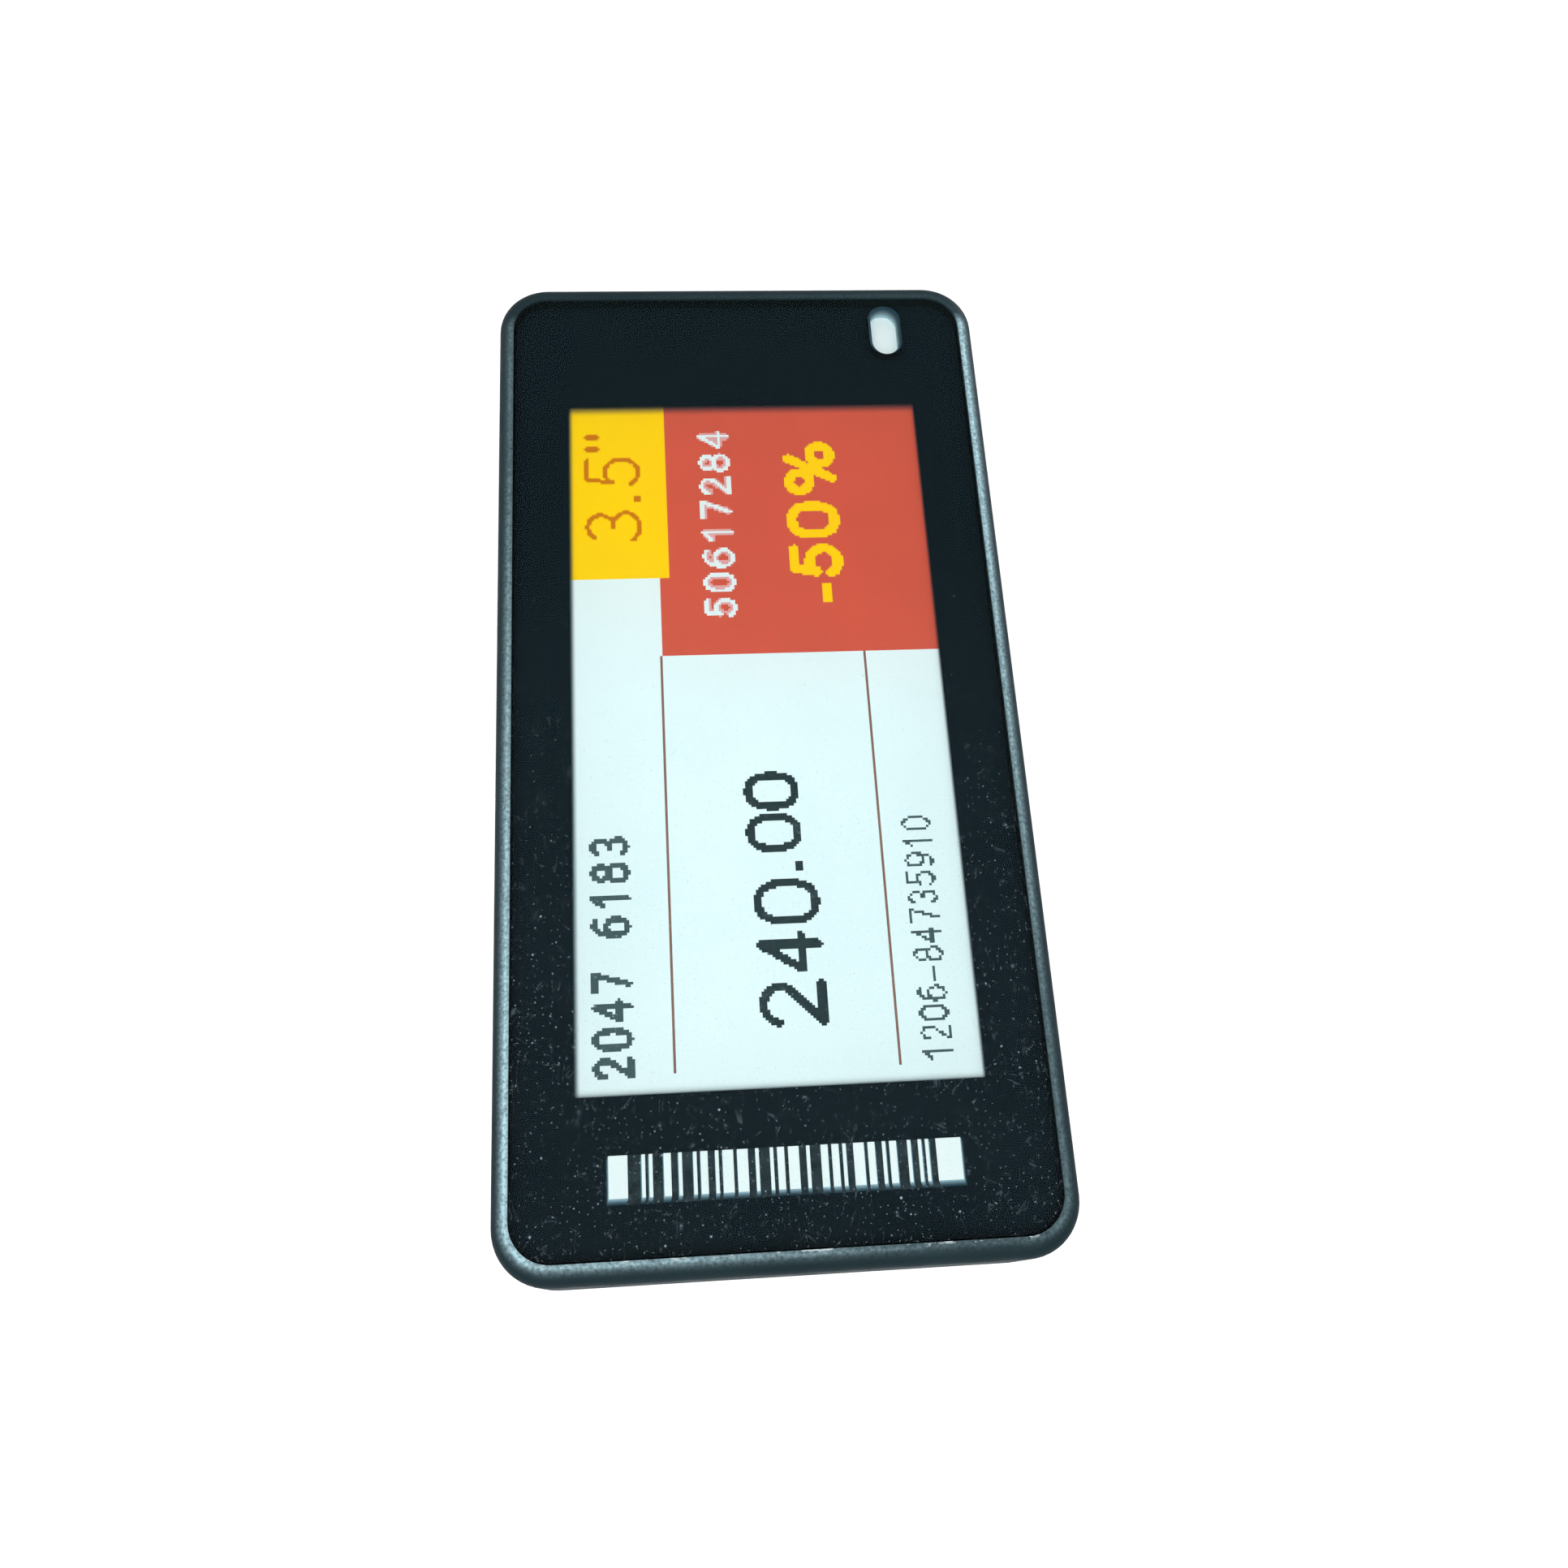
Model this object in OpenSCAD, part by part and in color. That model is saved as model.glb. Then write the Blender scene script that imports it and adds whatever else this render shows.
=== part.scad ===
// Electronic shelf label with a four-colour e-paper screen of the 2.66 inch class.
// It lies on its back: X across, Y along, Z from the back face up to the screen.
// Origin at the centre of the back face.

/* [Housing] */
// Corner radius of the housing seen from the front
body_corner_r = 4.3; // [3.6:0.1:5.5]
// Width of the rim beside the long sides of the window
rim_w = 1.3; // [1:0.05:1.6]
// Width of the rim at the short ends of the window
rim_end_w = 1.55; // [1:0.05:1.8]
// Rounding of the front edge
front_edge_r = 1.2; // [0.4:0.05:1.2]
// Rounding of the back edge
back_edge_r = 0.8; // [0.3:0.05:1]
// Thickness of the side walls
side_wall = 1.3; // [1.1:0.05:1.5]
// Thickness of the floor under the display
tray_t = 0.6; // [0.5:0.05:1]

/* [Window] */
// Thickness of the clear window
window_t = 1.0; // [0.6:0.05:1.5]
// Corner radius of the window
window_corner_r = 3.0; // [1.5:0.1:4]
// Gap all round the window
window_gap = 0.1; // [0.05:0.01:0.2]
// How far the window lies below the rim
window_recess = 0.1; // [0:0.01:0.2]
// Thickness of the black mask printed behind the window
mask_t = 0.05; // [0.03:0.01:0.1]
// Thickness of the tape that holds the window
window_tape_t = 0.2; // [0.1:0.05:0.3]

/* [Display] */
// Width of the picture area
active_w = 30.7; // [26:0.1:37]
// Length of the picture area
active_l = 60.1; // [50:0.1:72]
// Mask beside the picture on the long sides
border_side = 4.65; // [4.4:0.05:6]
// Mask beyond the picture at the head
border_head = 10.65; // [10.4:0.05:13]
// Mask beyond the picture at the foot
border_foot = 11.65; // [11.4:0.05:14]
// Glass beside the picture on the long sides
glass_side = 2.8; // [2.4:0.1:3]
// Glass beyond the picture at the head
glass_head = 2.8; // [2.4:0.1:3.4]
// Glass beyond the picture at the foot, with the driver chip
glass_foot = 8.9; // [8.2:0.1:9.2]
// Thickness of the glass backplane
glass_t = 0.5; // [0.4:0.05:0.7]
// Thickness of the ink film
ink_t = 0.3; // [0.2:0.05:0.4]
// Thickness of the protective film
protect_t = 0.2; // [0.1:0.05:0.3]
// Thickness of the foam under the glass
display_pad_t = 0.3; // [0.2:0.05:0.5]
// Gap from the protective film to the mask
view_gap = 0.3; // [0.25:0.05:0.6]
// Thickness of the flex cable
flex_t = 0.2; // [0.12:0.01:0.25]
// Width of the flex cable
flex_w = 12.5; // [10.5:0.5:12.5]

/* [Bar strip] */
// Width of the strip of bars
strip_w = 26.0; // [20:0.5:27]
// Height of the bars
strip_h = 2.8; // [2:0.1:3]
// Foot of the mask to the foot of the strip
strip_foot = 4.4; // [4.2:0.1:5]
// Height of the clear margin under the bars
strip_margin = 0.4; // [0.2:0.05:0.5]
// Thickness of the white plate behind the bars
plate_t = 0.25; // [0.15:0.05:0.25]

/* [Light] */
// Width of the oval hole for the light
light_w = 3.0; // [2.6:0.1:3.4]
// Length of the oval hole for the light
light_l = 5.3; // [4:0.1:5.4]
// Side of the window to the middle of the light
light_side = 6.65; // [6:0.05:9]
// Head of the window to the middle of the light
light_head = 3.35; // [3.3:0.05:3.5]
// How far the light guide ends below the face of the window
light_depth = 1.5; // [1.3:0.05:2]

/* [Power] */
// Diameter of the coin cells
cell_d = 24.5; // [20:0.1:29]
// Height of the coin cells
cell_t = 5.0; // [4.6:0.1:7.7]
// Height of the springs between cells and board
contact_h = 0.5; // [0.4:0.05:0.8]

/* [Board] */
// Thickness of the circuit board
board_t = 0.8; // [0.6:0.1:1]
// Width of the zone with the electronics
zone_w = 37.9; // [37:0.1:42]
// Length of the zone with the electronics
zone_l = 19.85; // [19.5:0.05:26]
// Gap between the board and the walls
board_gap = 0.25; // [0.15:0.05:0.5]

/* [Back cover and door] */
// Distance from each side of the housing to the plinth
plinth_side = 1.9; // [1.7:0.05:2.4]
// Distance from each end of the housing to the plinth
plinth_inset = 2.85; // [2.6:0.05:3.2]
// Height of the plinth
plinth_h = 2.0; // [1.9:0.05:2.6]
// Thickness of the back wall
back_wall = 1.2; // [1:0.05:1.3]
// Thickness of the flange round the plinth
flange_t = 1.2; // [1.1:0.05:1.6]
// Depth of the rail grooves along the plinth
groove_depth = 0.5; // [0.3:0.05:0.6]
// Height of the rail grooves
groove_h = 1.0; // [0.8:0.05:1.1]
// Door beside the cells
door_side = 1.25; // [1.15:0.05:1.5]
// Travel of the battery door until it lifts off
door_travel = 5.0; // [4.8:0.1:5.2]

/* [Hidden] */
$fn = 64;
cut = 0.5;          // overrun of every cut
fit = 0.1;          // clearance between parts that are put together
run = 0.1;          // clearance of parts that slide
turn = 0.05;        // radial clearance of the latch pins

// Levels, from the back face up
door_pad_t = 0.2;
standoff_h = 0.15;
z_cell = back_wall + door_pad_t;
z_cell_top = z_cell + cell_t;
z_board = z_cell_top + contact_h;
z_board_top = z_board + board_t;
z_tray = z_board_top + standoff_h;
z_tray_top = z_tray + tray_t;
z_glass = z_tray_top + display_pad_t;
z_ink = z_glass + glass_t;
z_protect = z_ink + ink_t;
z_view = z_protect + protect_t;
z_mask = z_view + view_gap;
z_window = z_mask + mask_t;
z_window_top = z_window + window_t;
body_t = z_window_top + window_recess;
z_ledge = z_mask - window_tape_t;
z_split = plinth_h + flange_t;

// Battery bay and the row of pieces behind it, from the head to the foot
cell_gap = 0.2;
cell_space = 0.6;
nest_wall = 1.0;
nest_drop = 0.4;
plinth_wall = 1.2;
bay_r = cell_d / 2 + cell_gap;
cell_pitch = cell_d + cell_space;
bay_l = 2 * bay_r + cell_pitch;
conn_d = 3.6;
contact_tail = 0.7;
conn_room = 2.25;
row_l = conn_room + conn_d + contact_tail + 2 * fit + zone_l + nest_wall + bay_l;

// The housing is as large as its screen or what it holds needs
lip_t = 0.8;
screen_w = active_w + 2 * (border_side + window_gap + rim_w);
screen_l = active_l + border_head + border_foot + 2 * (window_gap + rim_end_w);
inside_w = zone_w + 2 * (lip_t + fit + board_gap + side_wall);
inside_l = row_l + 2 * (plinth_wall + plinth_inset);
body_w = max(screen_w, inside_w);
body_l = max(screen_l, inside_l);

// Window and display places
window_w = body_w - 2 * (rim_w + window_gap);
window_l = body_l - 2 * (rim_end_w + window_gap);
glass_w = active_w + 2 * glass_side;
glass_l = active_l + glass_head + glass_foot;
active_y = border_foot + active_l / 2 - window_l / 2;
glass_head_y = active_y + active_l / 2 + glass_head;
glass_foot_y = glass_head_y - glass_l;
pocket_gap = 0.2;
flex_room = 0.3;
opening_margin = 0.12;

// Films on the glass
film_head = 1.2;
film_foot = 6.9;
film_side = 1.3;
film_l = glass_l - film_head - film_foot;
film_y = glass_head_y - film_head - film_l / 2;
film_step = 0.3;
film_corner_r = 0.5;
pad_rim = 3.0;
pad_inset = 0.6;

// Driver chip on the foot of the glass
driver_size = [16.0, 1.2, 0.28];
driver_foot = 3.2;
driver_y = glass_foot_y + driver_foot;

// Strip of bars
strip_foot_y = -window_l / 2 + strip_foot;
strip_side = 0.2;
strip_edge = 0.05;
plate_margin = 0.7;
// Widths of bar and gap in turn, as shares of the strip
bar_shares = [
    2, 1, 1, 1, 3, 2, 2, 1, 3, 1, 1, 2, 2, 1, 1, 3, 1, 3, 2, 1, 3, 1, 1, 2, 1, 3, 2, 1,
    3, 2, 1, 2, 1, 1, 2, 3, 1, 2, 2, 1, 1, 2, 3, 1, 2, 1, 1, 1, 2
];
quiet_share = 7;

// Light guide
light_x = window_w / 2 - light_side;
light_y = window_l / 2 - light_head;
guide_flange = 0.4;
guide_flange_t = 0.45;
led_size = [1.6, 0.8, 0.6];
led_gap = 0.3;

// Rear of the front housing
cavity_w = body_w - 2 * side_wall;
cavity_l = body_l - 2 * side_wall;
cavity_corner_r = body_corner_r - side_wall;
tape_inset = 0.15;
standoff_d = 2.6;

// Back cover
plinth_w = body_w - 2 * plinth_side;
plinth_l = body_l - 2 * plinth_inset;
plinth_corner_r = 3.0;
plinth_in_corner_r = plinth_corner_r - plinth_wall;
lip_h = 2.0;
lip_root = 0.4;
groove_z = 0.5;
groove_end = 6.0;
hook_out = 0.3;
hook_h = 0.8;
hook_l = 6.0;
hook_drop = 0.3;
hook_play = 0.2;
hook_side_share = 0.28;

// Bosses that hold the board, with pins that pass through it
boss_d = 2.6;
pin_d = 1.4;
pin_reach = 0.3;
pin_lead = 0.1;
boss_in_x = 2.0;
boss_in_y = 6.5;
boss_x = plinth_w / 2 - boss_in_x;
boss_y = plinth_l / 2 - boss_in_y;

// Battery bay
bay_head_y = plinth_l / 2 - plinth_wall;
cell_2_y = bay_head_y - bay_r;
cell_1_y = cell_2_y - cell_pitch;
bay_foot_y = cell_1_y - bay_r;

// Battery door
door_w = cell_d + 2 * door_side;
door_recess = 0.1;
door_foot_y = bay_foot_y;
door_head_y = plinth_l / 2;
tab_l = 4.0;
tab_out = 1.1;
tab_rib = 0.8;
tab_lift = 0.05;
tab_t = 0.7;
tab_shares = [0.1, 0.45, 0.8];
notch_play = 0.3;
grip_l = 13.0;
grip_h = 0.8;
grip_depth = 0.35;
grip_pitch = 1.7;
grip_count = 5;
grip_start = 3.0;
door_channel_w = door_w + 2 * (tab_out + run);
door_channel_t = tab_lift + tab_t + run;
pad_w = 12.0;
pad_l = 8.0;
z_deck = back_wall + door_channel_t;
deck_t = 0.8;
z_nest_top = z_cell_top - nest_drop;

// Coin cells
cap_in = 1.1;
cap_r = cell_d / 2 - cap_in;
gasket_w = 0.45;
can_drop = 0.35;
crimp_depth = 0.6;
can_edge_r = 0.4;

// Connector for the flex cable
conn_w = 15.4;
conn_h = 1.25;
conn_base = 0.4;
conn_rear = 1.3;
conn_foot_y = bay_foot_y - nest_wall - zone_l - 2 * fit - contact_tail - conn_d;
cheek_w = 1.1;
latch_t = 0.4;
latch_w = 1.6;
latch_lift = 0.1;
latch_pin_r = 0.15;
latch_pin_l = 0.6;
latch_end_gap = 0.1;
latch_z = z_board - conn_base - flex_t - latch_lift - latch_t / 2;
latch_y = conn_foot_y + conn_d - conn_rear - latch_t / 2 - run;
contact_count = 24;
contact_pitch = 0.5;
contact_w = 0.2;
contact_t = 0.15;

// Flex cable, folded round the foot of the board
flex_bond = 0.9;
flex_straight = 0.4;
flex_top_z = z_ink;
flex_low_z = z_board - conn_base - flex_t;
flex_bend_r = (flex_top_z + flex_t - flex_low_z) / 2;
flex_bend_y = glass_foot_y - flex_straight;
flex_bend_z = flex_low_z + flex_bend_r;
pocket_foot = flex_straight + flex_bend_r + flex_room;
flex_end_y = conn_foot_y + conn_d - conn_rear - fit;
flex_slot_w = flex_w + 4 * fit;

// Zone of the board that carries the electronics
zone_foot_y = conn_foot_y + conn_d + contact_tail + 2 * fit;

radio_size = [5.0, 5.0, 0.85];
radio_share = [-0.16, 0.3];
memory_size = [4.0, 4.9, 1.4];
memory_share = [-0.36, 0.62];
memory_leg = [0.4, 0.9, 0.25];
memory_leg_pitch = 1.0;
memory_leg_count = 4;
crystal_size = [3.2, 2.5, 0.75];
crystal_share = [-0.35, 0.18];
clock_size = [1.6, 3.2, 0.8];
clock_share = [-0.16, 0.68];
inductor_size = [4.0, 4.0, 1.8];
inductor_share = [0.32, 0.25];
inductor_cap_t = 0.35;
inductor_core_d = 3.2;
transistor_size = [2.9, 1.3, 1.0];
transistor_share = [0.18, 0.24];
transistor_leg = [0.4, 0.6, 0.2];
transistor_leg_y = (transistor_size.y + transistor_leg.y) / 2;
transistor_pitch = 1.9;
diode_size = [1.6, 2.6, 1.1];
diode_leg = [0.7, 0.6, 0.2];
diode_shares = [[0.17, 0.55], [0.27, 0.55], [0.37, 0.55]];
bulk_size = [3.5, 2.8, 1.9];
bulk_share = [0.32, 0.82];
chip_size = [1.6, 0.8, 0.8];
capacitor_shares = [0.02, 0.08, 0.14, 0.2];
capacitor_rows = [0.7, 0.82, 0.94];
resistor_size = [1.0, 0.5, 0.35];
resistor_shares = [-0.04, 0.0, 0.04, 0.08];
resistor_rows = [0.1, 0.25, 0.4];
antenna_t = 0.3;
antenna_h = 3.2;
antenna_l = 12.0;
antenna_strip = 1.6;
antenna_leg = 1.0;
antenna_top_w = 1.4;
antenna_share = [-0.44, 0.45];
antenna_leg_share = 0.3;

// Springs of the cells
leaf_w = 3.0;
leaf_t = 0.15;
leaf_l = 5.0;
leaf_foot = 1.6;
leaf_tip = 1.2;
side_spring_w = 2.4;
side_spring_t = 0.2;
side_spring_foot = 1.8;
side_spring_drop = 3.2;
side_window_w = 3.2;
side_window_d = 1.2;

// Shapes that several parts share

// Flat outline with round corners
module round_rect(w, l, r) {
    square([w - 2 * r, l], center = true);
    square([w, l - 2 * r], center = true);
    for (sx = [-1, 1], sy = [-1, 1])
        translate([sx * (w / 2 - r), sy * (l / 2 - r)])
            circle(r);
}

module round_prism(w, l, r, z0, z1) {
    translate([0, 0, z0])
        linear_extrude(z1 - z0)
            round_rect(w, l, r);
}

// Box centred on x and y that spans z0 to z1
module block(size, z0, z1) {
    translate([-size.x / 2, -size.y / 2, z0])
        cube([size.x, size.y, z1 - z0]);
}

// Oval with its long axis along Y
module oval_prism(w, l, z0, z1) {
    translate([0, 0, z0])
        linear_extrude(z1 - z0) {
            square([w, l - w], center = true);
            for (s = [-1, 1])
                translate([0, s * (l - w) / 2])
                    circle(w / 2);
        }
}

module quarter_disc(r) {
    intersection() {
        circle(r);
        square(r);
    }
}

// Section of a slab whose upper edge is rounded
module edge_section(w, h, r) {
    for (side = [0, 1])
        mirror([side, 0])
            corner_section(w / 2, h, r);
}

module corner_section(w, h, r) {
    square([w, h - r]);
    square([w - r, h]);
    translate([w - r, h - r])
        quarter_disc(r);
}

// Slab with round corners and a rounded upper edge
module soft_slab(w, l, h, corner, edge) {
    for (sx = [-1, 1], sy = [-1, 1])
        translate([sx * (w / 2 - corner), sy * (l / 2 - corner), 0])
            rotate_extrude()
                corner_section(corner, h, edge);
    rotate([90, 0, 0])
        linear_extrude(l - 2 * corner, center = true)
            edge_section(w, h, edge);
    rotate([90, 0, 90])
        linear_extrude(w - 2 * corner, center = true)
            edge_section(l, h, edge);
}

module at_bosses() {
    for (sx = [-1, 1], sy = [-1, 1])
        translate([sx * boss_x, sy * boss_y, 0])
            children();
}

module at_cells() {
    for (y = [cell_1_y, cell_2_y])
        translate([0, y, 0])
            children();
}

// Place on the electronics zone, under the board
module on_zone(share) {
    translate([share.x * zone_w, zone_foot_y + share.y * zone_l, z_board])
        children();
}

// Body that hangs from the board by its upper face
module hung(size) {
    translate([-size.x / 2, -size.y / 2, -size.z])
        cube(size);
}

// Snap hooks: two on each long side and one at each end
module at_hooks(half_w, half_l) {
    for (s = [-1, 1], h = [-1, 1])
        translate([s * half_w, h * hook_side_share * body_l, 0])
            rotate([0, 0, 90 - s * 90])
                children();
    for (s = [-1, 1])
        translate([0, s * half_l, 0])
            rotate([0, 0, s * 90])
                children();
}

// Housing

module display_pocket() {
    head = glass_head_y + pocket_gap;
    foot = glass_foot_y - pocket_foot;
    translate([0, (head + foot) / 2, 0])
        block([glass_w + 2 * pocket_gap, head - foot], z_tray_top, body_t + cut);
}

module front_frame() {
    color([0.24, 0.28, 0.31])
    difference() {
        union() {
            difference() {
                translate([0, 0, z_split])
                    soft_slab(body_w, body_l, body_t - z_split, body_corner_r, front_edge_r);
                round_prism(cavity_w, cavity_l, cavity_corner_r, z_split - cut, z_tray);
            }
            at_bosses()
                translate([0, 0, z_tray - standoff_h])
                    cylinder(d = standoff_d, h = standoff_h + tray_t / 2);
        }
        round_prism(
            window_w + 2 * window_gap, window_l + 2 * window_gap,
            window_corner_r + window_gap, z_ledge, body_t + cut
        );
        display_pocket();
        flex_slot();
        guide_hole();
        at_bosses()
            translate([0, 0, z_tray - standoff_h - cut])
                cylinder(d = pin_d + 2 * fit, h = cut + standoff_h + pin_reach);
        at_hooks(cavity_w / 2, cavity_l / 2)
            hook_slot();
    }
}

module flex_slot() {
    foot = glass_foot_y - pocket_foot;
    head = glass_foot_y;
    translate([0, (head + foot) / 2, 0])
        block([flex_slot_w, head - foot], z_tray - cut, z_tray_top + cut);
}

module guide_hole() {
    translate([light_x, light_y, 0]) {
        oval_prism(light_w, light_l, z_tray - cut, z_ledge + cut);
        oval_prism(
            light_w + 2 * guide_flange, light_l + 2 * guide_flange,
            z_tray - cut, z_tray + guide_flange_t
        );
    }
}

module hook_slot() {
    z0 = z_split + lip_h - hook_drop - hook_h - hook_play;
    translate([-cut, -hook_l / 2 - hook_play, z0])
        cube([cut + hook_out + hook_play, hook_l + 2 * hook_play, hook_h + 2 * hook_play]);
}

// Clear sheet with an oval hole in front of the light guide
module front_window() {
    color([0.75, 0.82, 0.85, 0.35])
    difference() {
        round_prism(window_w, window_l, window_corner_r, z_window, z_window_top);
        translate([light_x, light_y, 0])
            oval_prism(light_w, light_l, z_window - cut, z_window_top + cut);
    }
}

module window_mask() {
    color([0.06, 0.08, 0.09])
    difference() {
        round_prism(window_w, window_l, window_corner_r, z_mask, z_window);
        translate([0, active_y, 0])
            block(
                [active_w + 2 * opening_margin, active_l + 2 * opening_margin],
                z_mask - cut, z_window + cut
            );
        strip_slot();
        translate([light_x, light_y, 0])
            oval_prism(light_w, light_l, z_mask - cut, z_window + cut);
    }
}

module strip_slot() {
    foot = strip_foot_y - strip_margin;
    head = strip_foot_y + strip_h + strip_edge;
    translate([0, (foot + head) / 2, 0])
        block([strip_w + 2 * strip_side, head - foot], z_mask - cut, z_window + cut);
}

module window_tape() {
    color([0.1, 0.1, 0.1])
    difference() {
        round_prism(
            window_w - 2 * tape_inset, window_l - 2 * tape_inset,
            window_corner_r - tape_inset, z_ledge, z_mask
        );
        translate([0, 0, -tray_t])
            display_pocket();
        translate([light_x, light_y, 0])
            oval_prism(
                light_w + 2 * tape_inset, light_l + 2 * tape_inset,
                z_ledge - cut, z_mask + cut
            );
    }
}

// Sum of the first n shares of the strip
function bar_start(n) = n == 0 ? quiet_share : bar_start(n - 1) + bar_shares[n - 1];
bar_unit = strip_w / (bar_start(len(bar_shares)) + quiet_share);

module code_bars() {
    color([0.09, 0.11, 0.12])
    for (n = [0:2:len(bar_shares) - 1])
        translate([bar_start(n) * bar_unit - strip_w / 2, strip_foot_y, z_mask])
            cube([bar_shares[n] * bar_unit, strip_h, mask_t]);
}

module code_plate() {
    size = [strip_w + 2 * plate_margin, strip_h + strip_margin + 2 * plate_margin];
    color([0.88, 0.95, 0.95])
    translate([0, strip_foot_y + (strip_h - strip_margin) / 2, 0])
        block(size, z_mask - plate_t, z_mask);
}

module light_guide() {
    led_top = z_board_top + led_size.z + led_gap / 2;
    color([0.85, 0.93, 0.95])
    translate([light_x, light_y, 0])
        difference() {
            union() {
                oval_prism(
                    light_w - 2 * fit, light_l - 2 * fit, z_tray, z_window_top - light_depth
                );
                oval_prism(
                    light_w + 2 * (guide_flange - fit), light_l + 2 * (guide_flange - fit),
                    z_tray, z_tray + guide_flange_t - fit
                );
            }
            block([led_size.x + 2 * led_gap, led_size.y + 2 * led_gap], z_tray - cut, led_top);
        }
}

// Display module

module protective_film() {
    color([0.85, 0.9, 0.9, 0.4])
    translate([0, film_y, 0])
        round_prism(
            active_w + 2 * (film_side - film_step), film_l - 2 * film_step,
            film_corner_r, z_protect, z_view
        );
}

module ink_film() {
    color([0.88, 0.95, 0.95])
    translate([0, film_y, 0])
        round_prism(active_w + 2 * film_side, film_l, film_corner_r, z_ink, z_protect);
}

module backplane_glass() {
    color([0.55, 0.65, 0.66, 0.6])
    translate([0, glass_head_y - glass_l / 2, 0])
        block([glass_w, glass_l], z_glass, z_ink);
}

module driver_chip() {
    color([0.12, 0.12, 0.13])
    translate([0, driver_y, 0])
        block([driver_size.x, driver_size.y], z_ink, z_ink + driver_size.z);
}

// Section of the flex cable: along the glass, round the foot and into the connector
module flex_section() {
    translate([flex_bend_y, flex_top_z])
        square([flex_straight + flex_bond, flex_t]);
    translate([flex_bend_y, flex_low_z])
        square([flex_end_y - flex_bend_y, flex_t]);
    translate([flex_bend_y, flex_bend_z])
        difference() {
            circle(flex_bend_r);
            circle(flex_bend_r - flex_t);
            translate([0, -flex_bend_r - cut])
                square([flex_bend_r + cut, 2 * (flex_bend_r + cut)]);
        }
}

module display_flex() {
    color([0.8, 0.45, 0.12])
    rotate([90, 0, 90])
        linear_extrude(flex_w, center = true)
            flex_section();
}

module display_pad() {
    w = glass_w - 2 * pad_inset;
    l = glass_l - 2 * pad_inset;
    color([0.2, 0.2, 0.2])
    translate([0, glass_head_y - glass_l / 2, 0])
        difference() {
            block([w, l], z_tray_top, z_glass);
            block([w - 2 * pad_rim, l - 2 * pad_rim], z_tray_top - cut, z_glass + cut);
        }
}

// Circuit board and what is on it

module main_board() {
    foot = -cavity_l / 2 - cut;
    color([0.05, 0.32, 0.2])
    difference() {
        round_prism(
            cavity_w - 2 * board_gap, cavity_l - 2 * board_gap,
            cavity_corner_r - board_gap, z_board, z_board_top
        );
        at_bosses()
            translate([0, 0, z_board - cut])
                cylinder(d = pin_d + 2 * fit, h = board_t + 2 * cut);
        translate([0, (foot + flex_bend_y) / 2, 0])
            block([flex_slot_w, flex_bend_y - foot], z_board - cut, z_board_top + cut);
    }
}

module radio_chip() {
    color([0.1, 0.1, 0.11])
    on_zone(radio_share)
        hung(radio_size);
}

module memory_chip() {
    color([0.1, 0.1, 0.11])
    on_zone(memory_share) {
        hung(memory_size);
        for (s = [-1, 1], n = [0:memory_leg_count - 1])
            translate([
                (n - (memory_leg_count - 1) / 2) * memory_leg_pitch,
                s * (memory_size.y + memory_leg.y) / 2, 0
            ])
                hung(memory_leg);
    }
}

module crystals() {
    color("silver") {
        on_zone(crystal_share)
            hung(crystal_size);
        on_zone(clock_share)
            hung(clock_size);
    }
}

module boost_inductor() {
    color([0.2, 0.2, 0.21])
    on_zone(inductor_share) {
        hung([inductor_size.x, inductor_size.y, inductor_cap_t]);
        translate([0, 0, -inductor_size.z])
            cylinder(d = inductor_core_d, h = inductor_size.z);
        translate([0, 0, inductor_cap_t - inductor_size.z])
            hung([inductor_size.x, inductor_size.y, inductor_cap_t]);
    }
}

module boost_transistor() {
    color([0.1, 0.1, 0.11])
    on_zone(transistor_share) {
        hung(transistor_size);
        for (s = [-1, 1])
            translate([s * transistor_pitch / 2, -transistor_leg_y, 0])
                hung(transistor_leg);
        translate([0, transistor_leg_y, 0])
            hung(transistor_leg);
    }
}

module rectifier_diodes() {
    color([0.1, 0.1, 0.11])
    for (share = diode_shares)
        on_zone(share) {
            hung(diode_size);
            for (s = [-1, 1])
                translate([0, s * (diode_size.y + diode_leg.y) / 2, 0])
                    hung(diode_leg);
        }
}

module bulk_capacitor() {
    color([0.75, 0.55, 0.15])
    on_zone(bulk_share)
        hung(bulk_size);
}

module ceramic_capacitors() {
    color([0.6, 0.48, 0.36])
    for (x = capacitor_shares, y = capacitor_rows)
        on_zone([x, y])
            hung(chip_size);
}

module chip_resistors() {
    color([0.12, 0.12, 0.12])
    for (x = resistor_shares, y = resistor_rows)
        on_zone([x, y])
            hung(resistor_size);
}

module indicator_led() {
    color([0.9, 0.9, 0.75])
    translate([light_x, light_y, 0])
        block([led_size.x, led_size.y], z_board_top, z_board_top + led_size.z);
}

// Stamped aerial that stands on its edge, with two legs on the board
module radio_antenna() {
    color([0.8, 0.8, 0.78])
    on_zone(antenna_share) {
        translate([-antenna_t / 2, -antenna_l / 2, -antenna_h])
            cube([antenna_t, antenna_l, antenna_strip]);
        for (y = [antenna_l / 2 - antenna_leg, antenna_leg_share * antenna_l])
            translate([-antenna_t / 2, y, -antenna_h])
                cube([antenna_t, antenna_leg, antenna_h]);
        translate([-antenna_t / 2, -antenna_l / 2, -antenna_h])
            cube([antenna_top_w, antenna_l, antenna_t]);
    }
}

// Flip-lock connector under the foot of the board

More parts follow.
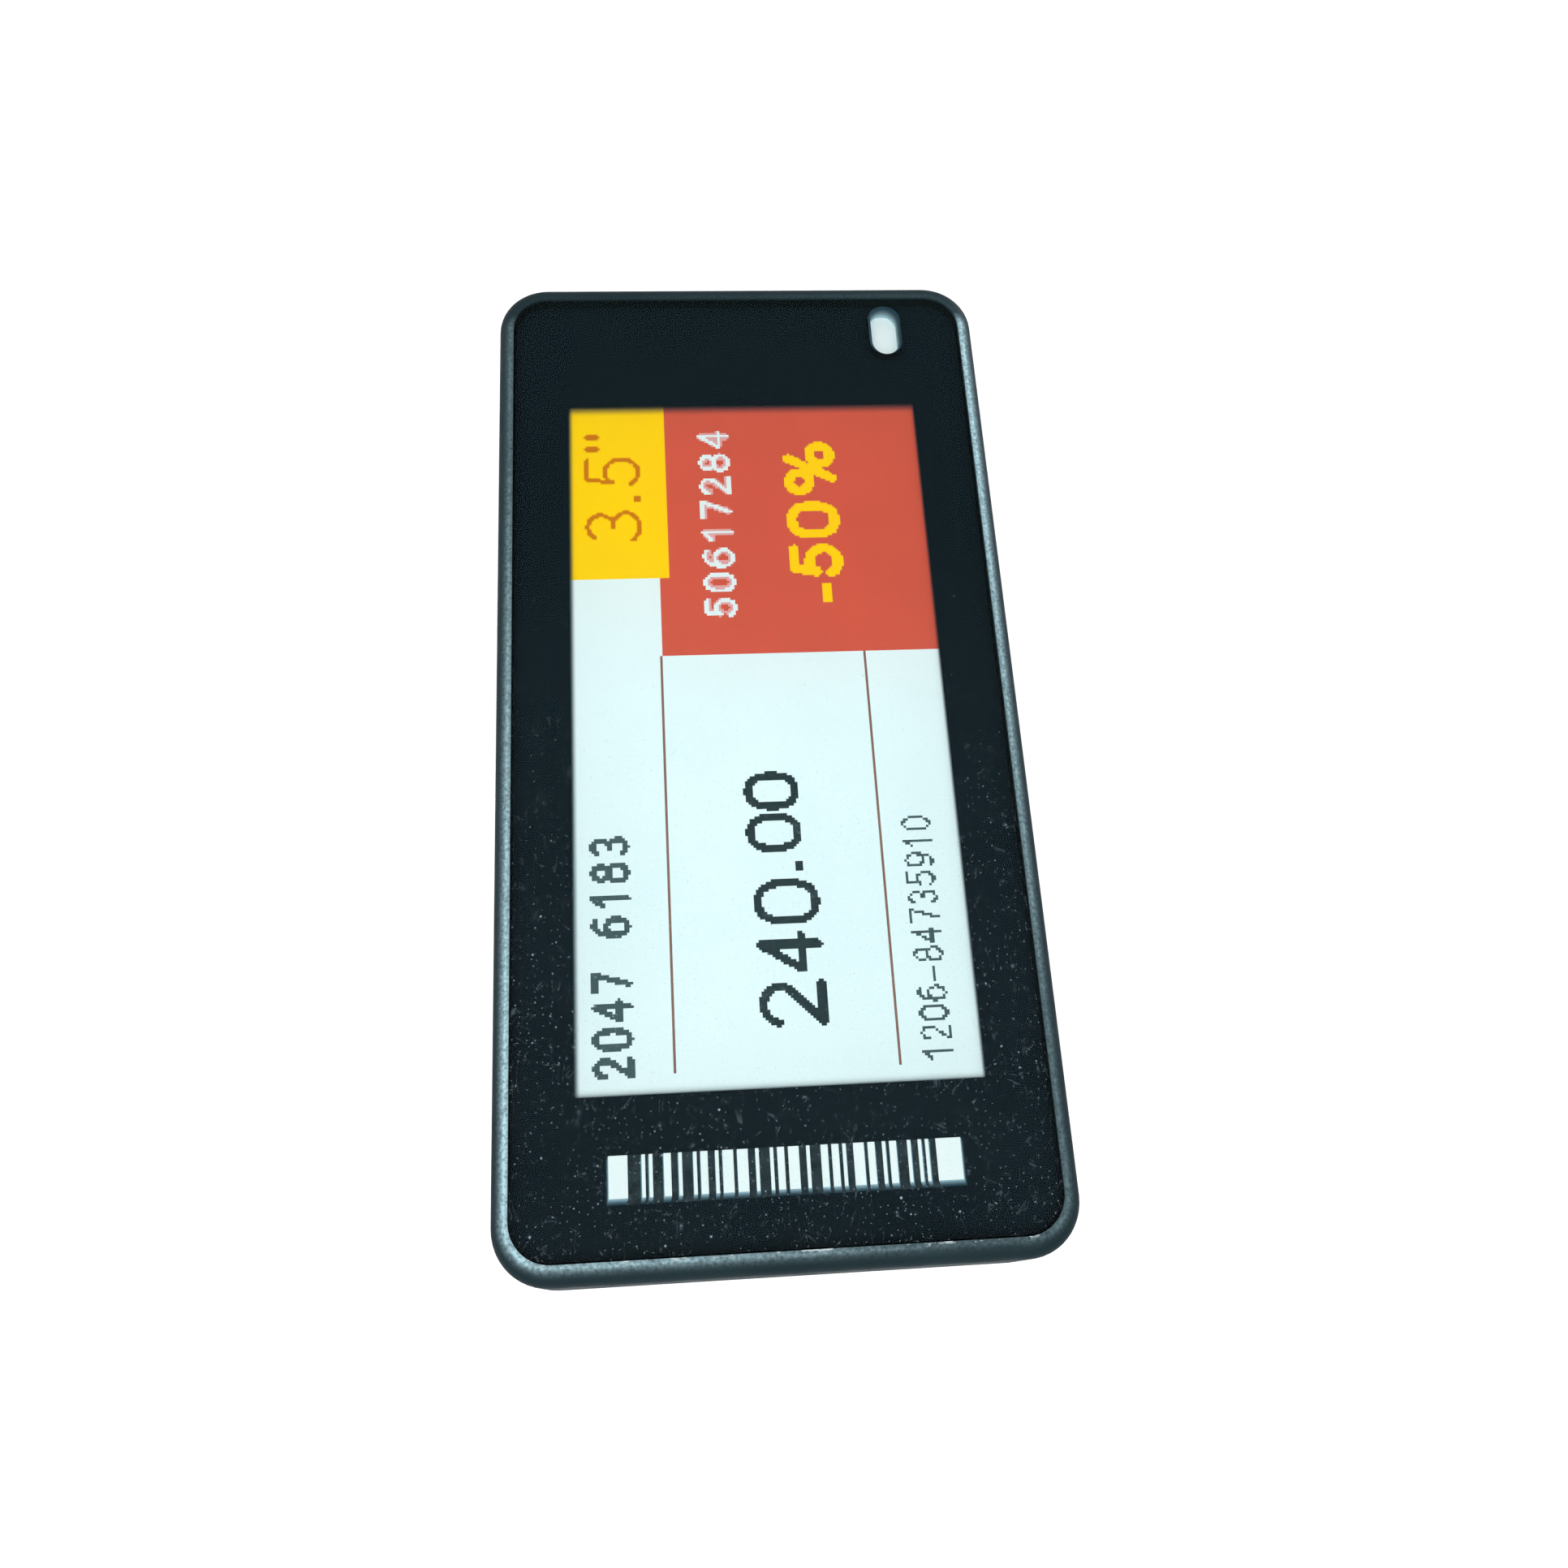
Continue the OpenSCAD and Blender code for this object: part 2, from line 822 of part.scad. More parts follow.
module flex_connector() {
    color([0.88, 0.85, 0.76])
    difference() {
        union() {
            translate([0, conn_foot_y + conn_d / 2, 0])
                block([conn_w, conn_d], z_board - conn_base, z_board);
            translate([0, conn_foot_y + conn_d - conn_rear / 2, 0])
                block([conn_w, conn_rear], z_board - conn_h, z_board);
            for (s = [-1, 1])
                translate([s * (conn_w - cheek_w) / 2, conn_foot_y + conn_d / 2, 0])
                    block([cheek_w, conn_d], z_board - conn_h, z_board);
        }
        translate([-conn_w / 2 - cut, latch_y, latch_z])
            rotate([0, 90, 0])
                cylinder(r = latch_pin_r + turn, h = conn_w + 2 * cut);
    }
}

module connector_contacts() {
    tail_y = conn_foot_y + conn_d;
    color([0.85, 0.7, 0.35])
    for (n = [0:contact_count - 1])
        translate([(n - (contact_count - 1) / 2) * contact_pitch, tail_y + contact_tail / 2, z_board])
            hung([contact_w, contact_tail, contact_t]);
}

module connector_latch() {
    inner = conn_w - 2 * (cheek_w + latch_end_gap);
    color([0.15, 0.15, 0.16])
    translate([0, latch_y, latch_z]) {
        rotate([0, 90, 0])
            cylinder(d = latch_t, h = inner, center = true);
        translate([-inner / 2, -latch_w, -latch_t / 2])
            cube([inner, latch_w, latch_t]);
        rotate([0, 90, 0])
            cylinder(r = latch_pin_r, h = inner + 2 * latch_pin_l, center = true);
    }
}

// Springs and coin cells

// Section of a leaf spring: soldered foot, slope and flat tip on the cell
module leaf_section() {
    drop = contact_h - leaf_t;
    knee = leaf_l - leaf_tip;
    polygon([
        [0, 0], [leaf_foot, 0], [knee, -drop], [leaf_l, -drop],
        [leaf_l, -contact_h], [knee, -contact_h], [leaf_foot, -leaf_t], [0, -leaf_t]
    ]);
}

module negative_contacts() {
    color([0.8, 0.74, 0.55])
    at_cells()
        translate([0, leaf_tip / 2 - leaf_l, z_board])
            rotate([90, 0, 90])
                linear_extrude(leaf_w, center = true)
                    leaf_section();
}

module positive_contacts() {
    color([0.8, 0.74, 0.55])
    at_cells()
        translate([cell_d / 2 + fit, 0, z_board]) {
            translate([0, -side_spring_w / 2, -side_spring_drop])
                cube([side_spring_t, side_spring_w, side_spring_drop]);
            translate([0, -side_spring_w / 2, -side_spring_t])
                cube([side_spring_foot, side_spring_w, side_spring_t]);
        }
}

module can_section() {
    mirror([0, 1])
        translate([0, can_drop - cell_t])
            corner_section(cell_d / 2, cell_t - can_drop, can_edge_r);
}

module cell_cans() {
    color([0.78, 0.78, 0.77])
    at_cells()
        translate([0, 0, z_cell])
            difference() {
                rotate_extrude()
                    can_section();
                translate([0, 0, cell_t - can_drop - crimp_depth])
                    cylinder(r = cap_r + gasket_w, h = crimp_depth + cut);
            }
}

module cell_gaskets() {
    color([0.1, 0.12, 0.3])
    at_cells()
        translate([0, 0, z_cell_top - can_drop - crimp_depth])
            difference() {
                cylinder(r = cap_r + gasket_w, h = crimp_depth);
                translate([0, 0, -cut])
                    cylinder(r = cap_r, h = crimp_depth + 2 * cut);
            }
}

module cell_caps() {
    color([0.7, 0.7, 0.69])
    at_cells()
        translate([0, 0, z_cell_top - can_drop - crimp_depth])
            rotate_extrude()
                corner_section(cap_r, can_drop + crimp_depth, can_drop / 2);
}

// Back cover and battery door

module back_cover() {
    color([0.16, 0.18, 0.2])
    difference() {
        union() {
            cover_shell();
            cover_lip();
            cover_nest();
            at_bosses() {
                translate([0, 0, back_wall / 2])
                    cylinder(d = boss_d, h = z_board - back_wall / 2);
                cylinder(d = pin_d, h = z_tray + pin_reach - pin_lead);
            }
        }
        door_opening();
        door_channel();
        at_cells() {
            translate([0, 0, back_wall])
                cylinder(r = bay_r, h = cell_t + contact_h);
            translate([cell_d / 2, -side_window_w / 2, back_wall])
                cube([side_window_d, side_window_w, cell_t + contact_h]);
        }
    }
}

module cover_shell() {
    difference() {
        union() {
            translate([0, 0, z_split])
                mirror([0, 0, 1])
                    soft_slab(body_w, body_l, flange_t, body_corner_r, back_edge_r);
            round_prism(plinth_w, plinth_l, plinth_corner_r, 0, plinth_h + flange_t / 2);
        }
        round_prism(
            plinth_w - 2 * plinth_wall, plinth_l - 2 * plinth_wall,
            plinth_in_corner_r, back_wall, z_split + cut
        );
        for (s = [-1, 1])
            translate([s * (plinth_w / 2 + cut - groove_depth / 2), 0, 0])
                block(
                    [groove_depth + 2 * cut, plinth_l - 2 * groove_end],
                    groove_z, groove_z + groove_h
                );
    }
}

module cover_lip() {
    outer_w = cavity_w - 2 * fit;
    outer_l = cavity_l - 2 * fit;
    outer_r = cavity_corner_r - fit;
    difference() {
        round_prism(outer_w, outer_l, outer_r, z_split - lip_root, z_split + lip_h);
        round_prism(
            outer_w - 2 * lip_t, outer_l - 2 * lip_t, outer_r - lip_t,
            z_split - lip_root - cut, z_split + lip_h + cut
        );
    }
    at_hooks(outer_w / 2, outer_l / 2)
        snap_hook();
}

// Wedge with a flat catch face below and a lead-in above
module snap_hook() {
    translate([0, 0, z_split + lip_h - hook_drop - hook_h])
        rotate([90, 0, 0])
            linear_extrude(hook_l, center = true)
                polygon([[-lip_t / 2, 0], [hook_out, 0], [0, hook_h], [-lip_t / 2, hook_h]]);
}

// Deck, side rails and rings that hold the two cells
module cover_nest() {
    foot = bay_foot_y - nest_wall;
    rail_x = door_channel_w / 2;
    for (s = [-1, 1])
        translate([s * (rail_x + nest_wall / 2), (foot + bay_head_y) / 2, 0])
            block([nest_wall, bay_head_y - foot + nest_wall], back_wall / 2, z_nest_top);
    translate([0, (foot + bay_head_y) / 2, 0])
        block([door_channel_w + nest_wall, bay_head_y - foot + nest_wall], z_deck, z_deck + deck_t);
    translate([0, bay_foot_y - nest_wall, 0])
        block([door_channel_w + nest_wall, nest_wall], back_wall / 2, z_deck + deck_t);
    at_cells()
        translate([0, 0, z_deck])
            cylinder(r = bay_r + nest_wall, h = z_nest_top - z_deck);
}

module door_opening() {
    head = door_head_y + cut;
    foot = door_foot_y - fit;
    translate([0, (head + foot) / 2, 0])
        block([door_w + 2 * fit, head - foot], -cut, back_wall + run);
    for (share = tab_shares)
        translate([0, tab_y(share) + door_travel, 0])
            block(
                [door_w + 2 * (tab_out + run), tab_l + 2 * notch_play],
                -cut, back_wall + run
            );
}

// Space in which the tabs of the door slide
module door_channel() {
    foot = door_foot_y - fit;
    translate([0, (foot + bay_head_y) / 2, 0])
        block([door_channel_w, bay_head_y - foot], back_wall, back_wall + door_channel_t);
}

function tab_y(share) = door_foot_y + share * (door_head_y - door_foot_y);

module battery_door() {
    l = door_head_y - door_foot_y;
    color([0.15, 0.17, 0.19])
    difference() {
        union() {
            translate([0, door_foot_y + l / 2, 0])
                block([door_w, l], door_recess, back_wall);
            for (share = tab_shares, s = [-1, 1])
                translate([0, tab_y(share), 0])
                    door_tab(s);
        }
        for (n = [0:grip_count - 1])
            translate([0, door_head_y - grip_start - n * grip_pitch, 0])
                block([grip_l, grip_h], -cut, door_recess + grip_depth);
    }
}

// Rib on the edge of the door with a tab that reaches over the back wall
module door_tab(s) {
    translate([s * (door_w - tab_rib) / 2, 0, 0])
        block([tab_rib, tab_l], back_wall / 2, back_wall + tab_lift + tab_t);
    translate([s * (door_w + tab_out - tab_rib) / 2, 0, 0])
        block([tab_rib + tab_out, tab_l], back_wall + tab_lift, back_wall + tab_lift + tab_t);
}

module door_pad() {
    color([0.25, 0.25, 0.25])
    at_cells()
        block([pad_w, pad_l], back_wall, z_cell);
}

front_frame();
front_window();
window_mask();
window_tape();
code_bars();
code_plate();
light_guide();
protective_film();
ink_film();
backplane_glass();
driver_chip();
display_flex();
display_pad();
main_board();
radio_chip();
memory_chip();
crystals();
boost_inductor();
boost_transistor();
rectifier_diodes();
bulk_capacitor();
ceramic_capacitors();
chip_resistors();
indicator_led();
radio_antenna();
flex_connector();
connector_contacts();
connector_latch();
positive_contacts();
negative_contacts();
cell_cans();
cell_gaskets();
cell_caps();
back_cover();
battery_door();
door_pad();
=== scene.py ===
"""Looks, light and camera of the electronic shelf label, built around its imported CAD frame."""

import logging  # noqa: E402
import math  # noqa: E402
from dataclasses import dataclass, field  # noqa: E402
from enum import Enum  # noqa: E402
from functools import cached_property  # noqa: E402
from typing import Any  # noqa: E402

import bmesh  # noqa: E402
import bpy  # noqa: E402
import numpy as np  # noqa: E402
from mathutils import Matrix, Vector  # noqa: E402


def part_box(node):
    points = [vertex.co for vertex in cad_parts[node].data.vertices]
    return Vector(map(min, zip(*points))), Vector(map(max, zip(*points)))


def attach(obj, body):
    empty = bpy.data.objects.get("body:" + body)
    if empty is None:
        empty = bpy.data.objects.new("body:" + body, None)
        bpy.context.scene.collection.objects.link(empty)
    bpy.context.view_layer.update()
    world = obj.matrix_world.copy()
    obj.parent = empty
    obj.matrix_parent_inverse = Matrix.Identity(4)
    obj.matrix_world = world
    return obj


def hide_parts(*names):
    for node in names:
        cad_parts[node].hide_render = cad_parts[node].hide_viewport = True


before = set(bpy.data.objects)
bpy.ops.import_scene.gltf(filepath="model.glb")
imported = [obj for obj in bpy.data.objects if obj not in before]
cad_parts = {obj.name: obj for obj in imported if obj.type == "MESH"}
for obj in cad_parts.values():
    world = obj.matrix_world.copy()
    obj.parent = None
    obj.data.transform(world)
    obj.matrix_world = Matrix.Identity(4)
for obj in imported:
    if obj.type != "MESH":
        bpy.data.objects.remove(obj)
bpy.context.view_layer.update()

logging.basicConfig(level=logging.INFO, format="%(message)s")
LOG = logging.getLogger("shelf_label")

MM = 0.001
PER_METRE = 1000.0

Point2 = tuple[float, float]
Point3 = tuple[float, float, float]
Colour = tuple[float, float, float, float]
Socket = bpy.types.NodeSocket
Object = bpy.types.Object
BMesh = bmesh.types.BMesh

EVEN: Point3 = (1.0, 1.0, 1.0)
WHITE_LIGHT: Colour = (1.0, 1.0, 1.0, 1.0)


class Body(str, Enum):
    """The bodies of the CAD frame that carry new pieces."""

    HOUSING = "housing"
    DOOR = "battery_door"


def linear(code: str) -> Colour:
    """Turn an sRGB hex colour to linear.

    Args:
        code: Six hex digits, with or without the leading hash.

    Returns:
        Red, green, blue and an alpha of one, in linear light.
    """
    parts = [int(code.lstrip("#")[n : n + 2], 16) / 255 for n in (0, 2, 4)]
    red, green, blue = (c / 12.92 if c <= 0.04045 else ((c + 0.055) / 1.055) ** 2.4 for c in parts)
    return (red, green, blue, 1.0)


@dataclass
class Paint:
    """A node tree, with patterns that lie on the object in real millimetres."""

    tree: bpy.types.NodeTree

    def add(
        self, kind: str, inputs: dict[str | int, Any] | None = None, **settings: Any
    ) -> bpy.types.Node:
        """Add a node, set its properties, and fill or link its sockets.

        Args:
            kind: Blender's name of the node type, without ShaderNode before it.
            inputs: Values, or sockets to link, by the input's name or number.
            settings: Properties of the node.

        Returns:
            The new node.
        """
        made = self.tree.nodes.new("ShaderNode" + kind)
        for name, value in settings.items():
            setattr(made, name, value)
        self.plug(made, inputs or {})
        return made

    def plug(self, node: bpy.types.Node, inputs: dict[str | int, Any]) -> None:
        """Fill the sockets of a node, or link them.

        Args:
            node: The node.
            inputs: Values, or sockets to link, by the input's name or number.
        """
        for name, value in inputs.items():
            if isinstance(value, Socket):
                self.tree.links.new(value, node.inputs[name])
            else:
                node.inputs[name].default_value = value

    def replace_shader(self, shader: bpy.types.Node) -> None:
        """Put a shader in the place of the Principled one."""
        self.tree.nodes.remove(self.tree.nodes["Principled BSDF"])
        self.plug(self.tree.nodes["Material Output"], {"Surface": shader.outputs[0]})

    @cached_property
    def place(self) -> Socket:
        """The place on the object in millimetres, so that pattern scales are real sizes."""
        where = self.add("TexCoord").outputs["Object"]
        return self.add("VectorMath", {0: where, "Scale": PER_METRE}, operation="SCALE").outputs[0]

    def noise(
        self, size_mm: float, detail: float, roughness: float, stretch: Point3, place: Socket
    ) -> Socket:
        """Lay noise over a surface.

        Args:
            size_mm: Size of a patch.
            detail: How many finer layers ride on the patches.
            roughness: How strong the finer layers are.
            stretch: Length of a patch along each axis, against size_mm.
            place: Where the pattern lies, in millimetres.

        Returns:
            A value socket that is about a half on average.
        """
        size = [s * size_mm for s in stretch]
        squeezed = self.add("VectorMath", {0: place, 1: size}, operation="DIVIDE").outputs[0]
        values = {"Vector": squeezed, "Scale": 1.0, "Detail": detail, "Roughness": roughness}
        return self.add("TexNoise", values).outputs[0]

    def clouds(
        self, size_mm: float, low: float, high: float, detail: float = 3.0, stretch: Point3 = EVEN
    ) -> Socket:
        """Lay soft patches over a surface.

        Args:
            size_mm: Size of a patch.
            low: Value in the troughs.
            high: Value on the crests.
            detail: How many finer layers ride on the patches.
            stretch: Length of a patch along each axis, against size_mm.

        Returns:
            A value socket between low and high.
        """
        noise = self.noise(size_mm, detail, 0.55, stretch, self.place)
        span = {"Value": noise, "From Min": 0.3, "From Max": 0.7, "To Min": low, "To Max": high}
        return self.add("MapRange", span).outputs[0]

    def flecks(self, size_mm: float, level: float, stretch: Point3, place: Socket) -> Socket:
        """Scatter hard-edged patches of one on zero, where noise is above a level.

        Args:
            size_mm: Size of a patch.
            level: The level, higher for fewer patches.
            stretch: Length of a patch along each axis, against size_mm.
            place: Where the pattern lies, in millimetres.

        Returns:
            A value socket from zero to one.
        """
        noise = self.noise(size_mm, 4.0, 0.6, stretch, place)
        span = {"Value": noise, "From Min": level, "From Max": level + 0.06}
        return self.add("MapRange", span).outputs[0]

    def along(self, axis: str, start: float, end: float) -> Socket:
        """Fade smoothly from zero to one between two places on an axis.

        Args:
            axis: X, Y or Z.
            start: Where the fade starts, in millimetres.
            end: Where it ends, in millimetres.

        Returns:
            A value socket.
        """
        value = self.add("SeparateXYZ", {0: self.place}).outputs[axis]
        span = {"Value": value, "From Min": start, "From Max": end}
        return self.add("MapRange", span, interpolation_type="SMOOTHSTEP").outputs[0]

    def outline_distance(self, half: Point2, corner: float) -> Socket:
        """Measure how far a point lies outside a rounded rectangle, seen from the front.

        Args:
            half: Half the rectangle's width and height.
            corner: Its corner radius.

        Returns:
            A value socket in millimetres, negative inside.
        """
        point = self.place
        core = (half[0] - corner, half[1] - corner, 0.0)
        steps = (
            ("MULTIPLY", (1.0, 1.0, 0.0)),
            ("ABSOLUTE", (0.0, 0.0, 0.0)),
            ("SUBTRACT", core),
            ("MAXIMUM", (0.0, 0.0, 0.0)),
        )
        for operation, vector in steps:
            point = self.add("VectorMath", {0: point, 1: vector}, operation=operation).outputs[0]
        reach = self.add("VectorMath", {0: point}, operation="LENGTH").outputs["Value"]
        return self.fold("SUBTRACT", reach, corner)

    def fold(self, operation: str, *values: Any) -> Socket:
        """Join values from left to right.

        Args:
            operation: What joins two of them, such as ADD.
            values: Value sockets or numbers.

        Returns:
            A value socket.
        """
        result = values[0]
        for value in values[1:]:
            result = self.add("Math", {0: result, 1: value}, operation=operation).outputs[0]
        return result

    def product(self, *values: Any) -> Socket:
        """Multiply value sockets and numbers."""
        return self.fold("MULTIPLY", *values)

    def blend(self, share: Any, first: Any, second: Any) -> Socket:
        """Mix two colours; a share of one gives the second alone."""
        return self.add("Mix", {0: share, 6: first, 7: second}, data_type="RGBA").outputs[2]


@dataclass(frozen=True)
class Finish:
    """A material of one piece: what it is, how it was made, and how it has worn.

    Colours are sRGB hex. Sizes are in millimetres.
    """

    name: str
    colour: str
    second: str
    roughness: float
    ior: float = 1.5
    metallic: float = 0.0
    specular: float = 0.5
    coat: float = 0.0
    coat_roughness: float = 0.15
    patch_mm: float = 6.0
    grain_mm: float = 0.25
    grain_depth_mm: float = 0.004
    stretch: Point3 = EVEN
    uneven: float = 0.08

    def colours(self, paint: Paint) -> Socket:
        """Mix the two colours in soft patches and fine grain.

        Args:
            paint: The material's nodes.

        Returns:
            A colour socket.
        """
        patches = paint.clouds(self.patch_mm, 0.0, 0.7)
        mixed = paint.blend(patches, linear(self.colour), linear(self.second))
        speckle = paint.clouds(self.grain_mm, 0.0, 0.35, 2.0, self.stretch)
        return paint.blend(speckle, mixed, linear(self.second))

    def fill(self, paint: Paint) -> None:
        """Set the shader's constant sockets and link the patterns.

        Args:
            paint: The material's nodes.
        """
        low, high = self.roughness - self.uneven, self.roughness + self.uneven
        grain = paint.clouds(self.grain_mm, 0.0, 1.0, 2.0, self.stretch)
        depth = self.grain_depth_mm * MM
        bump = paint.add("Bump", {"Height": grain, "Distance": depth, "Strength": 1.0})
        inputs = {
            "Metallic": self.metallic,
            "IOR": self.ior,
            "Specular IOR Level": self.specular,
            "Coat Weight": self.coat,
            "Coat Roughness": self.coat_roughness,
            "Base Color": self.colours(paint),
            "Roughness": paint.clouds(self.patch_mm / 3, low, high, 4.0, self.stretch),
            "Normal": bump.outputs[0],
        }
        paint.plug(paint.tree.nodes["Principled BSDF"], inputs)

    def make(self) -> bpy.types.Material:
        """Build the material once, and give the same one after that.

        Returns:
            The Blender material.
        """
        found = bpy.data.materials.get(self.name)
        if found:
            return found
        material = bpy.data.materials.new(self.name)
        material.use_nodes = True
        self.fill(Paint(material.node_tree))
        return material

    def dress(self, piece: Object) -> None:
        """Assign the material to every slot of a piece.

        Args:
            piece: A CAD node.
        """
        if not piece.data.materials:
            piece.data.materials.append(self.make())
            return
        for place in piece.material_slots:
            place.link = "OBJECT"
            place.material = self.make()


@dataclass(frozen=True)
class PaintedSheenPlastic(Finish):
    """Spark-eroded ABS with a painted sheen, pale along the window and strongest by the lower left
    and the upper right, and pale wear chips at the foot.
    """

    # Painted sheen: a pale colour that stands in for the gloss highlight on the rim's rounded top
    sheen_colour: str = "#b4d8e2"
    chipped: str = "#dcebee"
    half: Point2 = (20.0, 41.2)
    corner: float = 3.0
    sheen_reach: float = 1.3
    sheen_peak: float = 0.4
    sheen_share: float = 0.95
    frost_mm: float = 0.24
    head_fade: Point2 = (39.9, 38.1)
    least_at_head: float = 0.04
    front_fade: Point2 = (9.2, 10.8)
    chip_fade: Point2 = (-40.4, -41.1)
    chip_mm: float = 0.5
    chip_level: float = 0.58
    chip_stretch: Point3 = (2.2, 1.0, 1.0)
    chip_share: float = 0.75

    def sheen_spread(self, paint: Paint) -> Socket:
        """Say how strong the painted sheen is at each place of the rim.

        Args:
            paint: The material's nodes.

        Returns:
            A value socket, highest by the lower left and the upper right corner.
        """
        parts = paint.add("SeparateXYZ", {0: paint.place}).outputs
        diagonal = paint.product(parts["X"], parts["Y"])
        spans = (
            {"Value": diagonal, "From Min": -500.0, "From Max": 560.0, "To Min": 0.2},
            {"Value": parts["Y"], "From Min": -41.9, "From Max": -40.8, "To Min": 0.5},
        )
        cornered, above_foot = [paint.add("MapRange", span).outputs[0] for span in spans]
        head = paint.along("Y", *self.head_fade)
        below_head = paint.fold("MAXIMUM", head, self.least_at_head)
        return paint.product(cornered, below_head, above_foot)

    def colours(self, paint: Paint) -> Socket:
        """Add the painted sheen band and the wear chips along the window to the plain colours.

        Args:
            paint: The material's nodes.

        Returns:
            A colour socket.
        """
        plain = super().colours(paint)
        away = paint.outline_distance(self.half, self.corner)
        spans = (
            {"Value": away, "From Min": self.sheen_reach, "From Max": self.sheen_peak},
            {"Value": away, "From Min": -0.1, "From Max": self.sheen_peak, "To Min": 0.35},
            {"Value": away, "From Min": 0.4, "From Max": 0.1},
        )
        near, brink, beside = [paint.add("MapRange", span).outputs[0] for span in spans]
        front = paint.along("Z", *self.front_fade)
        frost = paint.clouds(self.frost_mm, 0.4, 1.4, 4.0)
        sheen_spread = self.sheen_spread(paint)
        # Painted highlight: the pale band keeps to the top faces near the window and fades towards
        # the head
        share = paint.product(near, near, near, brink, front, frost, self.sheen_share, sheen_spread)
        sheened = paint.blend(share, plain, linear(self.sheen_colour))
        foot = paint.along("Y", *self.chip_fade)
        chips = paint.flecks(self.chip_mm, self.chip_level, self.chip_stretch, paint.place)
        chipped = paint.product(beside, foot, front, chips, self.chip_share)
        return paint.blend(chipped, sheened, linear(self.chipped))


@dataclass(frozen=True)
class WindowAcrylic(Finish):
    """Polished acrylic sheet with painted shade on its cut edges, and dust and hair scratches on
    its face.

    It doesn't bend light, so that what lies behind it stays where the frame has it.
    """

    face_z: float = 10.9
    gloss_ior: float = 1.17
    dust: str = "#d4ecf8"
    # Painted shade: the cut edges are dark, standing in for the shadow in the gap by the housing
    painted_edge_shade: str = "#0a1a1b"
    film_share: float = 0.003
    speck_kinds: tuple[tuple[float, ...], ...] = (
        (0.6, 0.06, 0.5, 0.35),
        (1.5, 0.085, 0.62, 0.5),
        (4.3, 0.12, 0.66, 0.75),
    )
    hair_kinds: tuple[Point3, ...] = (
        (0.12, 0.0, 0.11),
        (-0.2, 40.0, 0.11),
        (0.75, 90.0, 0.18),
        (-1.1, 140.0, 0.15),
    )
    hair_size: Point3 = (0.7, 6.0, 6.0)
    hair_width: float = 0.014
    lower_fade: Point2 = (22.0, -32.0)

    def specks(self, paint: Paint, kind: tuple[float, ...]) -> Socket:
        """Scatter specks of one size.

        Args:
            paint: The material's nodes.
            kind: Spacing, radius, share of places left clean and strength.

        Returns:
            A value socket.
        """
        cell_mm, radius_mm, clean, strength = kind
        grid = {"Vector": paint.place, "Scale": 1 / cell_mm}
        cells = paint.add("TexVoronoi", grid, voronoi_dimensions="2D").outputs
        size = radius_mm / cell_mm
        span = {"Value": cells["Distance"], "From Min": size, "From Max": 0.3 * size}
        spot = paint.add("MapRange", span).outputs[0]
        chance = paint.add("SeparateColor", {0: cells["Color"]}).outputs[0]
        return paint.product(spot, paint.fold("GREATER_THAN", chance, clean), strength)

    def hairs(self, paint: Paint, kind: Point3) -> Socket:
        """Draw short hair scratches that run one way.

        Args:
            paint: The material's nodes.
            kind: Turn in radians, offset in millimetres and strength.

        Returns:
            A value socket.
        """
        turn, offset, strength = kind
        move = {"Rotation": (0.0, 0.0, turn), "Location": (offset, offset, 0.0)}
        turned = paint.add("Mapping", {"Vector": paint.place, **move}).outputs[0]
        lines = paint.noise(1.0, 1.0, 0.5, self.hair_size, turned)
        away = paint.add("Math", {0: paint.fold("SUBTRACT", lines, 0.5)}, operation="ABSOLUTE")
        span = {"Value": away.outputs[0], "From Min": self.hair_width, "From Max": 0.0}
        thread = paint.add("MapRange", span).outputs[0]
        return paint.product(thread, paint.flecks(0.9, 0.56, EVEN, turned), strength)

    def dust_share(self, paint: Paint) -> Socket:
        """Add up the thin film, the specks and the scratches, most of them on the lower half.

        Args:
            paint: The material's nodes.

        Returns:
            A value socket, the share of dust in the shader.
        """
        marks = [self.specks(paint, kind) for kind in self.speck_kinds]
        marks += [self.hairs(paint, kind) for kind in self.hair_kinds]
        gathered = paint.product(paint.fold("ADD", *marks), paint.clouds(5.0, 0.15, 1.0, 2.0))
        film = paint.clouds(9.0, self.film_share * 0.6, self.film_share * 1.4)
        lower = paint.along("Y", *self.lower_fade)
        return paint.product(paint.fold("ADD", gathered, film), lower)

    def fill(self, paint: Paint) -> None:
        """Layer the gloss, the dust and the painted shade on the cut edge over the clear pane.

        Args:
            paint: The material's nodes.
        """
        face = paint.along("Z", self.face_z - 0.05, self.face_z)
        normal = paint.add("NewGeometry").outputs["True Normal"]
        turned = paint.add("SeparateXYZ", {0: normal}).outputs["Z"]
        upright = paint.add("Math", {0: turned}, operation="ABSOLUTE").outputs[0]
        side = paint.fold("LESS_THAN", upright, 0.5)
        angle = paint.add("Fresnel", {"IOR": self.gloss_ior}).outputs[0]
        gloss = paint.add("BsdfGlossy", {"Roughness": self.roughness})
        powder = paint.add("BsdfDiffuse", {"Color": linear(self.dust), "Roughness": 0.8})
        # Painted shade on the side faces, for the shadow in the gap by the housing
        edge_shade_bsdf = paint.add("BsdfDiffuse", {"Color": linear(self.painted_edge_shade)})
        layers = (
            (paint.product(angle, face), gloss),
            (paint.product(self.dust_share(paint), face), powder),
            (side, edge_shade_bsdf),
        )
        whole = paint.add("BsdfTransparent")
        for share, layer in layers:
            parts = {0: share, 1: whole.outputs[0], 2: layer.outputs[0]}
            whole = paint.add("MixShader", parts)
        paint.replace_shader(whole)


